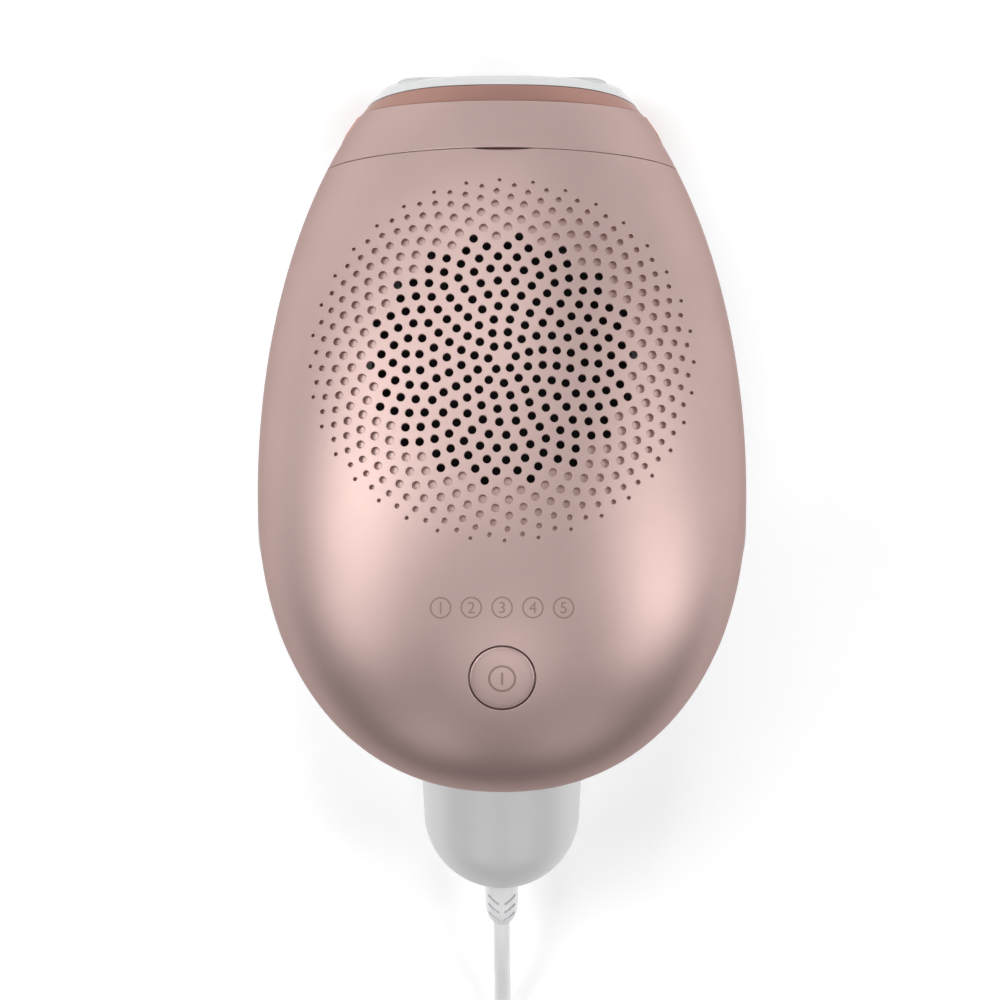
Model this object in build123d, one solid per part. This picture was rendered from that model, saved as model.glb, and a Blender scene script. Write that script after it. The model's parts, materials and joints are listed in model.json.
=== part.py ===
"""Corded IPL hair remover: head, handle, light module, cooling, controls, lead and wall adapter.

Most pieces are drawn in the head's own frame: X across, Y towards the treatment window, Z out of
the control face, with the origin where the head is widest. set_down() then tilts the whole device
nose-down, so that it rests on the lip of the window and on the heel of the handle. The lead, its
coil and the adapter are drawn in the final frame, on the floor at Z = 0. Millimetres throughout.
"""
import os
from math import asin, cos, degrees, radians, sin, sqrt, tan

from build123d import *

# ---- driving dimensions: head ----
HALF_WIDTH = 46.1          # the egg's half width at its widest place
NOSE_REACH = 87.8          # semi-axis of the ellipse towards the window
TAIL_REACH = 56.9          # from the widest place to the tail
TAIL_POWER = 2.2           # superellipse exponent of the tail
TOP_HEIGHT = 28.0          # control face above the split plane
BOTTOM_HEIGHT = 31.0       # underside below the split plane
WALL = 2.6                 # shell thickness at the sides; the domes are thinner in proportion
SEAM_Y = 61.9              # joint between the head and the attachment cap, in the middle
SEAM_ARC_R = 440.0         # the joint runs back towards the sides along this arc
CAP_END_Y = 71.45          # end of the rose-gold cap, start of the trim ring
NOSE_END_Y = 76.9          # flat end of the lip
LIP_BASE_Y = 74.4          # end of the trim ring in the middle; it narrows towards its sides
LIP_BASE = [(13.6, 74.3), (18.9, 74.05), (22.3, 73.5), (24.4, 72.9), (26.1, 72.5), (28.0, 72.3)]
FLANGE = (66.5, 0.5)       # start of the underside's raised edge, and its height
SEAM_GAP = 0.16

# ---- driving dimensions: vent field ----
VENT_Y = 21.9              # centre of the rings
VENT_PITCH = 2.525         # ring spacing up to ring 7
EVEN_RINGS = 7
PITCH_SHARE = 0.924        # farther out, each spacing is this share of the one before
VENT_SQUASH = 0.9475       # rings are this much shorter along the head
VENT_COUNTS = [6, 11, 16, 21, 26, 30, 36, 36, 36, 36]
VENT_STARTS = [55, 20.5, 11.1, 9, 9.2, 3.1, 3.1, 7.9, 2.7, 7.5]      # turn of each ring, degrees
VENT_HOLE_D = 1.6
FAN_Y = 21.5               # the fan's shaft, under the vents

# ---- driving dimensions: handle and resting pose ----
PITCH = 30.0               # nose-down tilt of the resting device
REST_DEPTH = 1.0           # depth of the flats that the device rests on
HANDLE_END_R = 16.0
HANDLE_ROOT_R = 19.0
HANDLE_ROOT = (12.0, -10.5)     # Y, Z of the handle's axis inside the head
HANDLE_END_Y = -59.6            # Y of the centre of the round end
HANDLE_SAG = 2.5                # how far the axis bows away from a straight line
SOCKET_DROP = 5.5               # the socket's axis below the centre of the round end

# ---- driving dimensions: controls ----
BUTTON_Y = -36.6
BUTTON_R = 6.15
BUTTON_GAP = 0.35
BUTTON_DOME_R = 52.0
NUMBER_Y = -23.8
NUMBER_PITCH = 5.6
TRIGGER_AT = 0.42          # place along the handle's axis, 0 at the root and 1 at the end
TRIGGER_SIZE = (20.0, 12.0)
TRIGGER_PROUD = 2.2
WINDOW = (34.0, 13.0)      # clear opening of the treatment window

# ---- driving dimensions: fan ----
FAN_RING_R = 24.0
FAN_BASE_Z = 10.6
FAN_HEIGHT = 9.0
BLADES = 9
SHAFT_R = 1.0
SHAFT_CLEARANCE = 0.05
SCREEN_R = 23.5
SCREEN_THICKNESS = 0.4

# contacts that tell the device that the cap is on
CONTACT_X = (-6.0, 0.0, 6.0)
CONTACT_Z = -12.0

# ---- driving dimensions: lead and adapter ----
CORD_D = 3.5
PLUG_LENGTH = 14.5
COIL_CENTRE = (26.5, -176.0)
COIL_OUTER_R = 28.4           # 13 turns in four columns and four layers
COIL_INNER_R = 12.9
COIL_HEIGHT = 14.4
COIL_CORNER_R = 3.0
ADAPTER_SIZE = (44.0, 72.0, 28.0)
ADAPTER_FRONT_Y = -228.0
ADAPTER_EXIT_Z = 6.0
PIN_R = 2.0
PIN_LENGTH = 19.0
PIN_SPACING = 18.6

BIG = 400.0
pitch = radians(PITCH)

# Height of the head's origin above the floor: the underside's lowest point sinks by REST_DEPTH.
ORIGIN_Z = sqrt((NOSE_REACH * sin(pitch)) ** 2 + (BOTTOM_HEIGHT * cos(pitch)) ** 2) - REST_DEPTH
# The round end of the handle stands on the same floor.
END_HEIGHT = HANDLE_END_R - REST_DEPTH
HANDLE_END_Z = (END_HEIGHT - ORIGIN_Z + HANDLE_END_Y * sin(pitch)) / cos(pitch)
# The device is centred along the floor.
NOSE_TOP_Z = TOP_HEIGHT * sqrt(1 - (NOSE_END_Y / NOSE_REACH) ** 2)
NOSE_FRONT = NOSE_END_Y * cos(pitch) + NOSE_TOP_Z * sin(pitch)
HEEL_BACK = HANDLE_END_Y * cos(pitch) + HANDLE_END_Z * sin(pitch) - HANDLE_END_R
ORIGIN_Y = -(NOSE_FRONT + HEEL_BACK) / 2

parts = {}


def set_down(shape):
    """Move a shape from the head's frame to the resting device's frame."""
    return RESTING * shape


def add(name, shape, on_floor=False):
    """Keep a finished piece under its node name."""
    parts[name] = shape if on_floor else set_down(shape)


def biggest(shape):
    """The largest solid of a shape, without the scraps that a cut leaves."""
    return max(shape.solids(), key=lambda solid: solid.volume)


def block(x, y, z):
    """Box between pairs of limits."""
    size = (x[1] - x[0], y[1] - y[0], z[1] - z[0])
    middle = ((x[0] + x[1]) / 2, (y[0] + y[1]) / 2, (z[0] + z[1]) / 2)
    return Pos(*middle) * Box(*size)


def rod(start, end, radius):
    """Round bar between two points."""
    start, end = Vector(*start), Vector(*end)
    axis = end - start
    return extrude(Plane(start, z_dir=axis) * Circle(radius), axis.length)


def post(x, y, radius, z0, z1):
    """Upright cylinder in the head."""
    return Pos(x, y, (z0 + z1) / 2) * Cylinder(radius, z1 - z0)


def ring(x, y, outer, inner, z0, z1):
    """Upright tube in the head."""
    return post(x, y, outer, z0, z1) - post(x, y, inner, z0 - 1, z1 + 1)


def on_plane(plane, sketch, z0, z1):
    """Prism on a plane, between two distances from it."""
    return extrude(plane.offset(z0) * sketch, z1 - z0)


def slab_bar(size, corner, y0, y1):
    """Rounded rectangle in the X-Z plane, from y0 to y1."""
    base = Plane((0, y0, 0), x_dir=(1, 0, 0), z_dir=(0, 1, 0))
    return extrude(base * RectangleRounded(size[0], size[1], corner), y1 - y0)


# ---- the egg ----
def tail_factor(y, reach):
    """Height or half width of the tail at y < 0, as a share of its largest."""
    return (1 - (abs(y) / reach) ** TAIL_POWER) ** (1 / TAIL_POWER)


def nose_factor(y, reach):
    return sqrt(1 - (y / reach) ** 2)


def surface_height(x, y, height, inset=0.0):
    """Distance of the egg's surface from the split plane at (x, y)."""
    factor = tail_factor(y, TAIL_REACH - inset) if y < 0 else nose_factor(y, NOSE_REACH - inset)
    half = HALF_WIDTH - inset
    rise = height * half / HALF_WIDTH
    return rise * sqrt(factor ** 2 - (x / half) ** 2)


def boss_depth(x, y, radius, height):
    """How far a boss may reach from the split plane and stay inside the wall."""
    around = [radians(30 * i) for i in range(12)]
    return min(surface_height(x + radius * cos(a), y + radius * sin(a), height, 0.9) for a in around)


def nose_edge(inset, y0, y1):
    """Outline of the nose between two places, as an arc of an ellipse."""
    reach = NOSE_REACH - inset
    first = degrees(asin(y0 / reach))
    last = degrees(asin(y1 / reach))
    return EllipticalCenterArc((0, 0), HALF_WIDTH - inset, reach, start_angle=first, arc_size=last - first)


def tail_edge(inset):
    """Outline of the tail, from its tip to the widest place."""
    half = HALF_WIDTH - inset
    tail = TAIL_REACH - inset
    steps = [radians(90 * i / 8) for i in range(9)]
    power = 2 / TAIL_POWER
    points = [(half * sin(a) ** power, -tail * cos(a) ** power) for a in steps]
    return Spline(*points, tangents=[(1, 0), (0, 1)])


def dome(profile, height, top):
    """Half turn of a profile about the head's long axis, flattened to the given height."""
    body = revolve(profile, Axis.Y, revolution_arc=180)
    body = scale(body, by=(1, 1, height / HALF_WIDTH))
    return Rot(0, 180, 0) * body if top else body


def before_seam(offset):
    """Everything behind the joint with the attachment, which is a shallow arc."""
    return Pos(0, SEAM_Y + offset - SEAM_ARC_R, 0) * Cylinder(SEAM_ARC_R, 200)


def head_wall(height, top):
    """Half shell of the head, from the tail to the seam."""
    last = SEAM_Y + 1
    outer = tail_edge(0) + nose_edge(0, 0, last)
    inner = tail_edge(WALL) + nose_edge(WALL, 0, last)
    seam = Line(nose_edge(0, 0, last) @ 1, nose_edge(WALL, 0, last) @ 1)
    tip = Line((0, -TAIL_REACH), (0, -TAIL_REACH + WALL))
    return dome(make_face(outer + inner + seam + tip), height, top) & before_seam(-SEAM_GAP / 2)


def head_half(height, top, inset=0.0):
    """Half of the egg as a solid, from the tail to the seam."""
    last = SEAM_Y - SEAM_GAP / 2
    outer = tail_edge(inset) + nose_edge(inset, 0, last)
    corner = nose_edge(inset, 0, last) @ 1
    spine = Polyline((corner.X, corner.Y), (0, last), (0, -TAIL_REACH + inset))
    return dome(make_face(outer + spine), height, top)


def nose_wall(outset, inset, y0, y1, height, top):
    """Half ring of the nose between two insets."""
    outer, inner = nose_edge(outset, y0, y1), nose_edge(inset, y0, y1)
    ends = Line(outer @ 0, inner @ 0) + Line(outer @ 1, inner @ 1)
    return dome(make_face(outer + inner + ends), height, top)


def nose_plug(inset, y0, y1):
    """Whole cross-section of the nose between two places."""
    edge = nose_edge(inset, y0, y1)
    first, last = edge @ 0, edge @ 1
    spine = Polyline((first.X, first.Y), (0, y0), (0, y1), (last.X, last.Y))
    profile = make_face(edge + spine)
    return dome(profile, TOP_HEIGHT, True) + dome(profile, BOTTOM_HEIGHT, False)


# ---- handle ----
root = Vector(0, *HANDLE_ROOT)
end = Vector(0, HANDLE_END_Y, HANDLE_END_Z)
chord = (end - root).normalized()
finger_side = Vector(0, -chord.Z, chord.Y)
middle = (root + end) * 0.5 + finger_side * HANDLE_SAG
handle_axis = ThreePointArc(root, middle, end)


def handle_radius(t):
    return HANDLE_ROOT_R + (HANDLE_END_R - HANDLE_ROOT_R) * t


def handle_solid(inset):
    """The whole handle with its round end, its walls moved in by inset."""
    rings = []
    for t in (0, 0.35, 0.7, 1):
        across = Plane(handle_axis @ t, x_dir=(1, 0, 0), z_dir=handle_axis % t)
        rings.append(across * Circle(handle_radius(t) - inset))
    return loft(rings) + Pos(*end) * Sphere(HANDLE_END_R - inset)


def handle_half(side):
    """Everything on one side of the plane through the handle's axis: +1 is the finger side."""
    plane = Plane((root + end) * 0.5, x_dir=(1, 0, 0), z_dir=finger_side * side)
    return extrude(plane * Rectangle(BIG, BIG), BIG / 2)


RESTING = Location((0, ORIGIN_Y, ORIGIN_Z), (-PITCH, 0, 0))
floor_cut = RESTING.inverse() * block((-BIG, BIG), (-BIG, BIG), (-BIG, 0))

# ---- local frames ----
# Button: square to the control face.
slope = surface_height(0, BUTTON_Y + 0.5, TOP_HEIGHT) - surface_height(0, BUTTON_Y - 0.5, TOP_HEIGHT)
button_plane = Plane(
    (0, BUTTON_Y, surface_height(0, BUTTON_Y, TOP_HEIGHT)), x_dir=(1, 0, 0), z_dir=(0, -slope, 1)
)
# Flash button: square to the handle, facing the fingers, X along the handle.
trigger_along = handle_axis % TRIGGER_AT
trigger_out = Vector(0, -trigger_along.Z, trigger_along.Y)
trigger_surface = handle_axis @ TRIGGER_AT + trigger_out * handle_radius(TRIGGER_AT)
trigger_plane = Plane(trigger_surface, x_dir=trigger_along, z_dir=trigger_out)
# Socket: parallel to the floor, towards the lead.
lead_dir = Vector(0, -cos(pitch), -sin(pitch))
floor_up = Vector(0, -sin(pitch), cos(pitch))
socket_centre = end - floor_up * SOCKET_DROP
socket_reach = sqrt(HANDLE_END_R ** 2 - SOCKET_DROP ** 2)
socket_plane = Plane(socket_centre + lead_dir * socket_reach, x_dir=(1, 0, 0), z_dir=lead_dir)
SOCKET_R = 4.8

# ---- screws that hold the two halves of the head ----
SCREW_PLACES = [(sx * x, y) for x, y in ((36, 6), (29, -28), (31, 43)) for sx in (1, -1)]
BOSS_R = 3.6
SCREW_R = 1.2
SCREW_HEAD_R = 2.2
SCREW_HEAD_Z = -7.0
SCREW_TIP_Z = 7.0
NOTCH = (11.3, 0.9, 1.6)


def vent_ring_radius(k):
    """Semi-axis of ring k across the head."""
    return VENT_PITCH * sum(PITCH_SHARE ** max(0, ring - EVEN_RINGS) for ring in range(1, k + 1))


def vent_places():
    """Centres of the through holes: whole rings, and every other place of the last one."""
    places = []
    for k, count in enumerate(VENT_COUNTS, start=1):
        last_ring = k == len(VENT_COUNTS)
        for i in range(1 if last_ring else 0, count, 2 if last_ring else 1):
            angle = radians(VENT_STARTS[k - 1] + 360 * i / count)
            across = vent_ring_radius(k) * cos(angle)
            along = VENT_Y - VENT_SQUASH * vent_ring_radius(k) * sin(angle)
            places.append((across, along))
    return places


def notch_tool():
    return Pos(0, SEAM_Y, surface_height(0, SEAM_Y, TOP_HEIGHT) - 0.4) * Box(*NOTCH)


def make_front_shell():
    """Rose-gold control face with vents, the button's opening, guides' pockets and screw bosses."""
    shell = head_wall(TOP_HEIGHT, True)
    for x, y in SCREW_PLACES:
        shell += post(x, y, BOSS_R, 0, boss_depth(x, y, BOSS_R, TOP_HEIGHT))
    tools = [post(x, y, SCREW_R + 0.05, -1, SCREW_TIP_Z + 1) for x, y in SCREW_PLACES]
    tools.append(on_plane(button_plane, Circle(BUTTON_R + BUTTON_GAP), -12, 8))
    for i in range(5):
        x = (i - 2) * NUMBER_PITCH
        top = surface_height(x, NUMBER_Y, TOP_HEIGHT) - 0.9
        tools.append(post(x, NUMBER_Y, 1.5, top - 6, top))
    tools += [post(x, y, VENT_HOLE_D / 2, 10, 40) for x, y in vent_places()]
    tools.append(notch_tool())
    return biggest(shell - tools)


def make_back_shell():
    """White underside of the head, open towards the handle, with screw wells and outlet slots."""
    shell = head_wall(BOTTOM_HEIGHT, False)
    for x, y in SCREW_PLACES:
        shell += post(x, y, BOSS_R + 0.6, -boss_depth(x, y, BOSS_R + 0.6, BOTTOM_HEIGHT), 0)
    for x, y in BOARD_POSTS:
        shell += post(x, y, 2.2, -boss_depth(x, y, 2.2, BOTTOM_HEIGHT), BOARD_Z - 1.6)
    tools = [post(x, y, SCREW_R + 0.05, -60, 1) for x, y in SCREW_PLACES]
    tools += [post(x, y, SCREW_HEAD_R + 0.25, -60, SCREW_HEAD_Z) for x, y in SCREW_PLACES]
    for side in (-1, 1):
        for i in range(7):
            y = 16 + 4 * i
            tools.append(block((side * 40 - 14, side * 40 + 14), (y, y + 1.6), (-13, -9.5)))
    tools.append(handle_solid(WALL + 0.4))
    return biggest(shell - tools)


def make_handle_covers():
    """Two half shells that meet on the plane through the handle's axis, trimmed by the head."""
    tube = handle_solid(0) - handle_solid(WALL)
    tube -= on_plane(socket_plane, Circle(SOCKET_R + 0.2), -16, 20)
    tube -= head_half(BOTTOM_HEIGHT, False)
    tube -= block((-BIG, BIG), (-BIG, BIG), (-0.5, BIG))
    tube = tube - floor_cut
    outer_cover = biggest(tube & handle_half(-1))
    inner_cover = biggest(tube & handle_half(1))
    slot = SlotOverall(TRIGGER_SIZE[0] + 0.7, TRIGGER_SIZE[1] + 0.7)
    return outer_cover, inner_cover - on_plane(trigger_plane, slot, -10, 10)


LIP_PLUG = (40.6, 19.6)
DUCT_START_Y = 66.5
LIP_FLOOR_Y = 73.0
DUCT_WALL = 1.4


def make_attachment():
    """Cap halves, trim ring, lip and duct, which pull off the nose together."""
    inset = 1.9
    first = SEAM_Y - 3
    behind = before_seam(SEAM_GAP / 2)
    cap_top = nose_wall(0, inset, first, CAP_END_Y, TOP_HEIGHT, True) - behind - notch_tool()
    cap_bottom = nose_wall(0, inset, first, CAP_END_Y, BOTTOM_HEIGHT, False) - behind
    cap_bottom += nose_wall(-FLANGE[1], 0.5, FLANGE[0], CAP_END_Y, BOTTOM_HEIGHT, False)
    cap_bottom = biggest(cap_bottom - floor_cut)
    nose = nose_plug(0, CAP_END_Y, NOSE_END_Y) - floor_cut
    left = [(-x, y) for x, y in reversed(LIP_BASE)]
    border = Spline(*left, (0, LIP_BASE_Y), *LIP_BASE)
    below = Polyline(LIP_BASE[-1], (LIP_BASE[-1][0], 40), (left[0][0], 40), left[0])
    arc = extrude(make_face(border + below), 100, both=True)
    duct_outer = (WINDOW[0] + 2 * DUCT_WALL + 1.4, WINDOW[1] + 2 * DUCT_WALL + 1.4)
    seat = slab_bar(LIP_PLUG, 5.0, LIP_FLOOR_Y, 80)
    trim = nose & arc
    trim = trim - seat - slab_bar((duct_outer[0] + 0.2, duct_outer[1] + 0.2), 3.1, 60, LIP_FLOOR_Y)
    lip = (nose - arc) + (nose & slab_bar(LIP_PLUG, 5.0, LIP_FLOOR_Y, NOSE_END_Y))
    groove = slab_bar((39.2, 18.2), 4.2, 73.8, 80)
    lip = lip - slab_bar(WINDOW, 2.5, 70, 80) - groove - slab_bar(duct_outer, 3.0, 60, LIP_FLOOR_Y)
    duct = slab_bar(duct_outer, 3.0, DUCT_START_Y, LIP_FLOOR_Y)
    duct -= slab_bar((duct_outer[0] - 2 * DUCT_WALL, duct_outer[1] - 2 * DUCT_WALL), 2.0, 60, 80)
    return cap_top, cap_bottom, biggest(trim), biggest(lip), duct


def make_safety_ring():
    """Thin frame in the lip's groove that skin contact pushes in."""
    frame = slab_bar((38.6, 17.6), 4.0, 75.0, 77.3)
    return frame - slab_bar((WINDOW[0] + 0.4, WINDOW[1] + 0.4), 2.6, 70, 80)


# ---- light module ----
LAMP_Y = 50.0
LAMP_R = 3.0
REFLECTOR_HALF = 17.8
REFLECTOR_R = 8.5
REFLECTOR_WALL = 1.2


def make_window_frame():
    """The head's own nose: carries the filter glass, guides the attachment."""
    frame = nose_plug(WALL + 0.1, 57.6, 66.0)
    frame -= slab_bar((35.0, 14.6), 2.0, 50, 70)
    return frame - slab_bar((38.0, 17.0), 2.5, 64.0, 70)


def make_reflector():
    """Mirror trough, open towards the window."""
    side = Plane((-REFLECTOR_HALF, 0, 0), x_dir=(0, 1, 0), z_dir=(1, 0, 0))

    def trough(radius):
        mouth = Pos(LAMP_Y + 10, 0) * Rectangle(20, 2 * radius)
        return side * (Pos(LAMP_Y, 0) * Circle(radius) + mouth)

    solid = extrude(trough(REFLECTOR_R), 2 * REFLECTOR_HALF)
    solid -= extrude(trough(REFLECTOR_R - REFLECTOR_WALL), 2 * REFLECTOR_HALF)
    return solid & block((-30, 30), (0, 57.4), (-30, 30))


def make_lamp_holder():
    """Bracket behind the reflector with a cheek at each end of the lamp."""
    holder = block((-21, 21), (38.5, 41.3), (-10, 10))
    for side in (-1, 1):
        x = sorted((side * 18.0, side * 21.0))
        holder += block(x, (41.3, 57.4), (-10, 10))
    return holder - rod((-40, LAMP_Y, 0), (40, LAMP_Y, 0), LAMP_R + 0.05)


def make_heat_sink():
    """Base plate on the lamp holder with nine fins under the fan."""
    sink = block((-20, 20), (36.3, 38.5), (-18, 8))
    for i in range(9):
        x = -18.4 + 4.6 * i
        sink += block((x - 0.6, x + 0.6), (14.5, 36.3), (-18, -1))
    return sink


# ---- fan ----
def make_fan():
    """Frame, bearing, stator, rotor, magnet and shaft, on a common upright axis."""
    z0 = FAN_BASE_Z
    frame = ring(0, FAN_Y, FAN_RING_R, FAN_RING_R - 1.4, z0, z0 + FAN_HEIGHT)
    frame += post(0, FAN_Y, 9.0, z0, z0 + 1.4)
    for i in range(3):
        strut = Rot(0, 0, 90 + 120 * i) * block((8.5, FAN_RING_R - 0.7), (-1.2, 1.2), (z0, z0 + 1.4))
        frame += Pos(0, FAN_Y, 0) * strut
        ear = Rot(0, 0, 30 + 120 * i) * (Pos(FAN_RING_R + 1.6, 0, z0 + 1) * Cylinder(3.0, 2.0))
        frame += Pos(0, FAN_Y, 0) * ear
    frame -= post(0, FAN_Y, FAN_RING_R - 1.4, z0 + 1.4, z0 + 20)
    for x, y in fan_ears():
        frame -= post(x, y, 1.1, z0 - 1, z0 + 5)
    bearing = ring(0, FAN_Y, 2.6, SHAFT_R + SHAFT_CLEARANCE, z0 + 1.4, z0 + 6.6)
    stator = ring(0, FAN_Y, 4.2, 2.6, z0 + 1.6, z0 + 6.0)
    for i in range(6):
        tooth = Rot(0, 0, 60 * i) * block((4.0, 6.6), (-1.3, 1.3), (z0 + 2.2, z0 + 5.4))
        stator += Pos(0, FAN_Y, 0) * tooth
    cup_top = z0 + 8.2
    rotor = ring(0, FAN_Y, 8.5, 7.7, z0 + 1.9, cup_top)
    rotor += ring(0, FAN_Y, 8.5, SHAFT_R, cup_top - 1.0, cup_top)
    for i in range(BLADES):
        blade = Pos(15.0, 0, z0 + 5.0) * (Rot(32, 0, 0) * Box(13.6, 8.4, 0.9))
        rotor += Pos(0, FAN_Y, 0) * (Rot(0, 0, 360 * i / BLADES) * blade)
    rotor -= post(0, FAN_Y, 7.7, z0, cup_top - 1.0)
    magnet = ring(0, FAN_Y, 7.7, 7.0, z0 + 2.2, z0 + 6.6)
    shaft = post(0, FAN_Y, SHAFT_R, z0 + 1.7, cup_top)
    return frame, bearing, stator, rotor, magnet, shaft


def fan_ears():
    """Places of the fan's three screws."""
    reach = FAN_RING_R + 1.9
    angles = [radians(30 + 120 * i) for i in range(3)]
    return [(reach * cos(a), FAN_Y + reach * sin(a)) for a in angles]


# ---- boards and chassis ----
BOARD_Z = -12.0
BOARD_POSTS = [(sx * 17, y) for y in (-26, 8) for sx in (1, -1)]
CHASSIS_Z = (8.8, FAN_BASE_Z)


def make_chassis():
    """Plate that carries the fan, standing on the main board with four legs."""
    plate = block((-24, 24), (-6, 37), CHASSIS_Z)
    for x, y in fan_ears():
        plate += post(x, y, 3.2, *CHASSIS_Z)
    plate -= post(0, FAN_Y, 21.0, 0, 20)
    for x, y in fan_ears():
        plate -= post(x, y, 0.95, 0, 20)
    for sx in (1, -1):
        plate += block(sorted((sx * 14, sx * 20)), (-6, 1), (BOARD_Z, CHASSIS_Z[0]))
    return plate


def make_main_board():
    board = block((-20, 20), (-30, 12), (BOARD_Z - 1.6, BOARD_Z))
    for x, y in BOARD_POSTS:
        board -= post(x, y, 1.1, -20, -5)
    return board


def make_board_components():
    """Trigger transformer, relay, chips and filter capacitors on the main board."""
    items = [
        block((-12, 2), (-24, -10), (BOARD_Z, BOARD_Z + 12)),
        block((5, 13), (-24, -9), (BOARD_Z, BOARD_Z + 9)),
        block((-6, 4), (-4, 6), (BOARD_Z, BOARD_Z + 1.4)),
        block((8, 12), (-3, 3), (BOARD_Z, BOARD_Z + 1.2)),
        post(-10, 6, 3.1, BOARD_Z, BOARD_Z + 9),
        post(8, 8, 2.6, BOARD_Z, BOARD_Z + 8),
    ]
    return Compound(children=[item.solid() for item in items])


SWITCH_Z = (-8.0, -6.2)    # depths below the control face, along the button's axis


def make_control_board():
    base = Pos(0, 3.5) * Rectangle(27, 27)
    return on_plane(button_plane, base, SWITCH_Z[0] - 1.2, SWITCH_Z[0])


LED_SIZE = 1.6
LED_HEIGHT = 0.8


def number_leds():
    """Five small LEDs square to the control board, each under its number."""
    leds, guides = [], []
    for i in range(5):
        x = (i - 2) * NUMBER_PITCH
        local = button_plane.to_local_coords(Vector(x, NUMBER_Y, surface_height(x, NUMBER_Y, TOP_HEIGHT)))
        spot = Pos(local.X, local.Y)
        led = on_plane(button_plane, spot * Rectangle(LED_SIZE, LED_SIZE), SWITCH_Z[0], SWITCH_Z[0] + LED_HEIGHT)
        leds.append(led.solid())
        base = button_plane.from_local_coords(Vector(local.X, local.Y, SWITCH_Z[0] + 0.9))
        top = surface_height(x, NUMBER_Y, TOP_HEIGHT) - 0.95
        guides.append(rod((base.X, NUMBER_Y, base.Z + 1.0), (base.X, NUMBER_Y, top), 1.4).solid())
    return Compound(children=leds), Compound(children=guides)


def make_power_button():
    """Flush round cap with a retaining flange and a stem."""
    ball = button_plane.location * Pos(0, 0, -BUTTON_DOME_R) * Sphere(BUTTON_DOME_R)
    cap = on_plane(button_plane, Circle(BUTTON_R), -3.9, 1) & ball
    cap += on_plane(button_plane, Circle(BUTTON_R + 1.45), -3.9, -2.9)
    return cap + on_plane(button_plane, Circle(1.6), -5.0, -3.9)


def make_power_switch():
    body = on_plane(button_plane, Rectangle(6, 6), *SWITCH_Z)
    return body - on_plane(button_plane, Circle(1.3), SWITCH_Z[0] + 0.1, 0)


def make_flash_button():
    """Oval button in the finger side of the handle."""
    cap = on_plane(trigger_plane, SlotOverall(*TRIGGER_SIZE), -6.0, TRIGGER_PROUD)
    top = cap.edges().group_by(Axis(trigger_surface, trigger_out))[-1]
    cap = fillet(top, 1.4)
    cap += on_plane(trigger_plane, SlotOverall(TRIGGER_SIZE[0] + 3, TRIGGER_SIZE[1] + 3), -6.0, -5.0)
    return cap + on_plane(trigger_plane, Circle(1.6), -7.9, -6.0)


def tube_on(plane, outer, inner, z0, z1):
    """Tube that stands for a compression spring's outer shape."""
    return on_plane(plane, Circle(outer) - Circle(inner), z0, z1)


def make_trigger_switch():
    body = on_plane(trigger_plane, Rectangle(12.8, 6.5), -15.5, -9.6)
    return body - on_plane(trigger_plane, Circle(1.1), -12.4, -5)


# ---- lead, coil and adapter, in the resting frame ----
FLOOR_Z = CORD_D / 2
plug_start = (RESTING * Pos(*socket_plane.origin)).position
LEAD_Y = plug_start.Y
LEAD_Z = plug_start.Z
cord_start = (0.0, LEAD_Y - PLUG_LENGTH, LEAD_Z)
ROUTE_OUT = [
    cord_start,
    (0.0, cord_start[1] - 9.0, LEAD_Z),
    (0.3, cord_start[1] - 24.0, FLOOR_Z),
    (-0.7, cord_start[1] - 47.0, FLOOR_Z),
    (0.0, COIL_CENTRE[1] + 2.0, FLOOR_Z),
]
ROUTE_BACK = [
    (0.0, COIL_CENTRE[1] - 2.0, COIL_HEIGHT - FLOOR_Z),
    (-0.8, COIL_CENTRE[1] - 15.0, COIL_HEIGHT - 4.5),
    (0.0, ADAPTER_FRONT_Y + 22.0, ADAPTER_EXIT_Z),
    (0.0, ADAPTER_FRONT_Y + 12.0, ADAPTER_EXIT_Z),
]


def cord_tube(points):
    """Round lead along straight runs and tangent arcs, as large as the runs allow."""
    vectors = [Vector(*point) for point in points]
    radii = []
    for before, here, after in zip(vectors, vectors[1:], vectors[2:]):
        turn = radians((here - before).get_angle(after - here))
        shorter = min((here - before).length, (after - here).length)
        radii.append(0.45 * shorter / tan(turn / 2))
    print("cord radii", [round(radius, 1) for radius in radii])
    path = FilletPolyline(*vectors, radius=radii)
    section = Plane(vectors[0], z_dir=vectors[1] - vectors[0]) * Circle(CORD_D / 2)
    tube = sweep(section, path=path)
    share = tube.volume / (section.area * path.length)
    print("cord length", round(path.length, 1), "volume share", round(share, 4))
    return tube


def make_plug():
    """Low-voltage plug: barrel in the socket, flared grip and tapered strain relief."""
    outline = Polyline(
        (0, 10.0), (2.7, 10.0), (2.7, 0.3), (4.5, 0.3), (4.5, -0.6), (3.6, -5.0),
        (3.3, -PLUG_LENGTH + 1.6), (2.2, -PLUG_LENGTH), (0, -PLUG_LENGTH), (0, 10.0),
    )
    plug = revolve(make_face(outline), Axis.Y)
    plug -= rod((0, 12, 0), (0, 0.5, 0), 0.85)
    return Pos(0, LEAD_Y, LEAD_Z) * plug


def make_socket():
    """Round socket body with a centre pin, behind the handle's end."""
    body = on_plane(socket_plane, Circle(SOCKET_R), -14.0, -0.4)
    body -= on_plane(socket_plane, Circle(2.75), -11.0, 2)
    return body + on_plane(socket_plane, Circle(0.8), -11.0, -2.0)


def make_coil():
    """Outer shape of the lead's coil."""
    width = COIL_OUTER_R - COIL_INNER_R
    middle = ((COIL_OUTER_R + COIL_INNER_R) / 2, COIL_HEIGHT / 2)
    section = Plane.XZ * (Pos(*middle) * RectangleRounded(width, COIL_HEIGHT, COIL_CORNER_R))
    return Pos(*COIL_CENTRE, 0) * revolve(section, Axis.Z)


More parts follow.
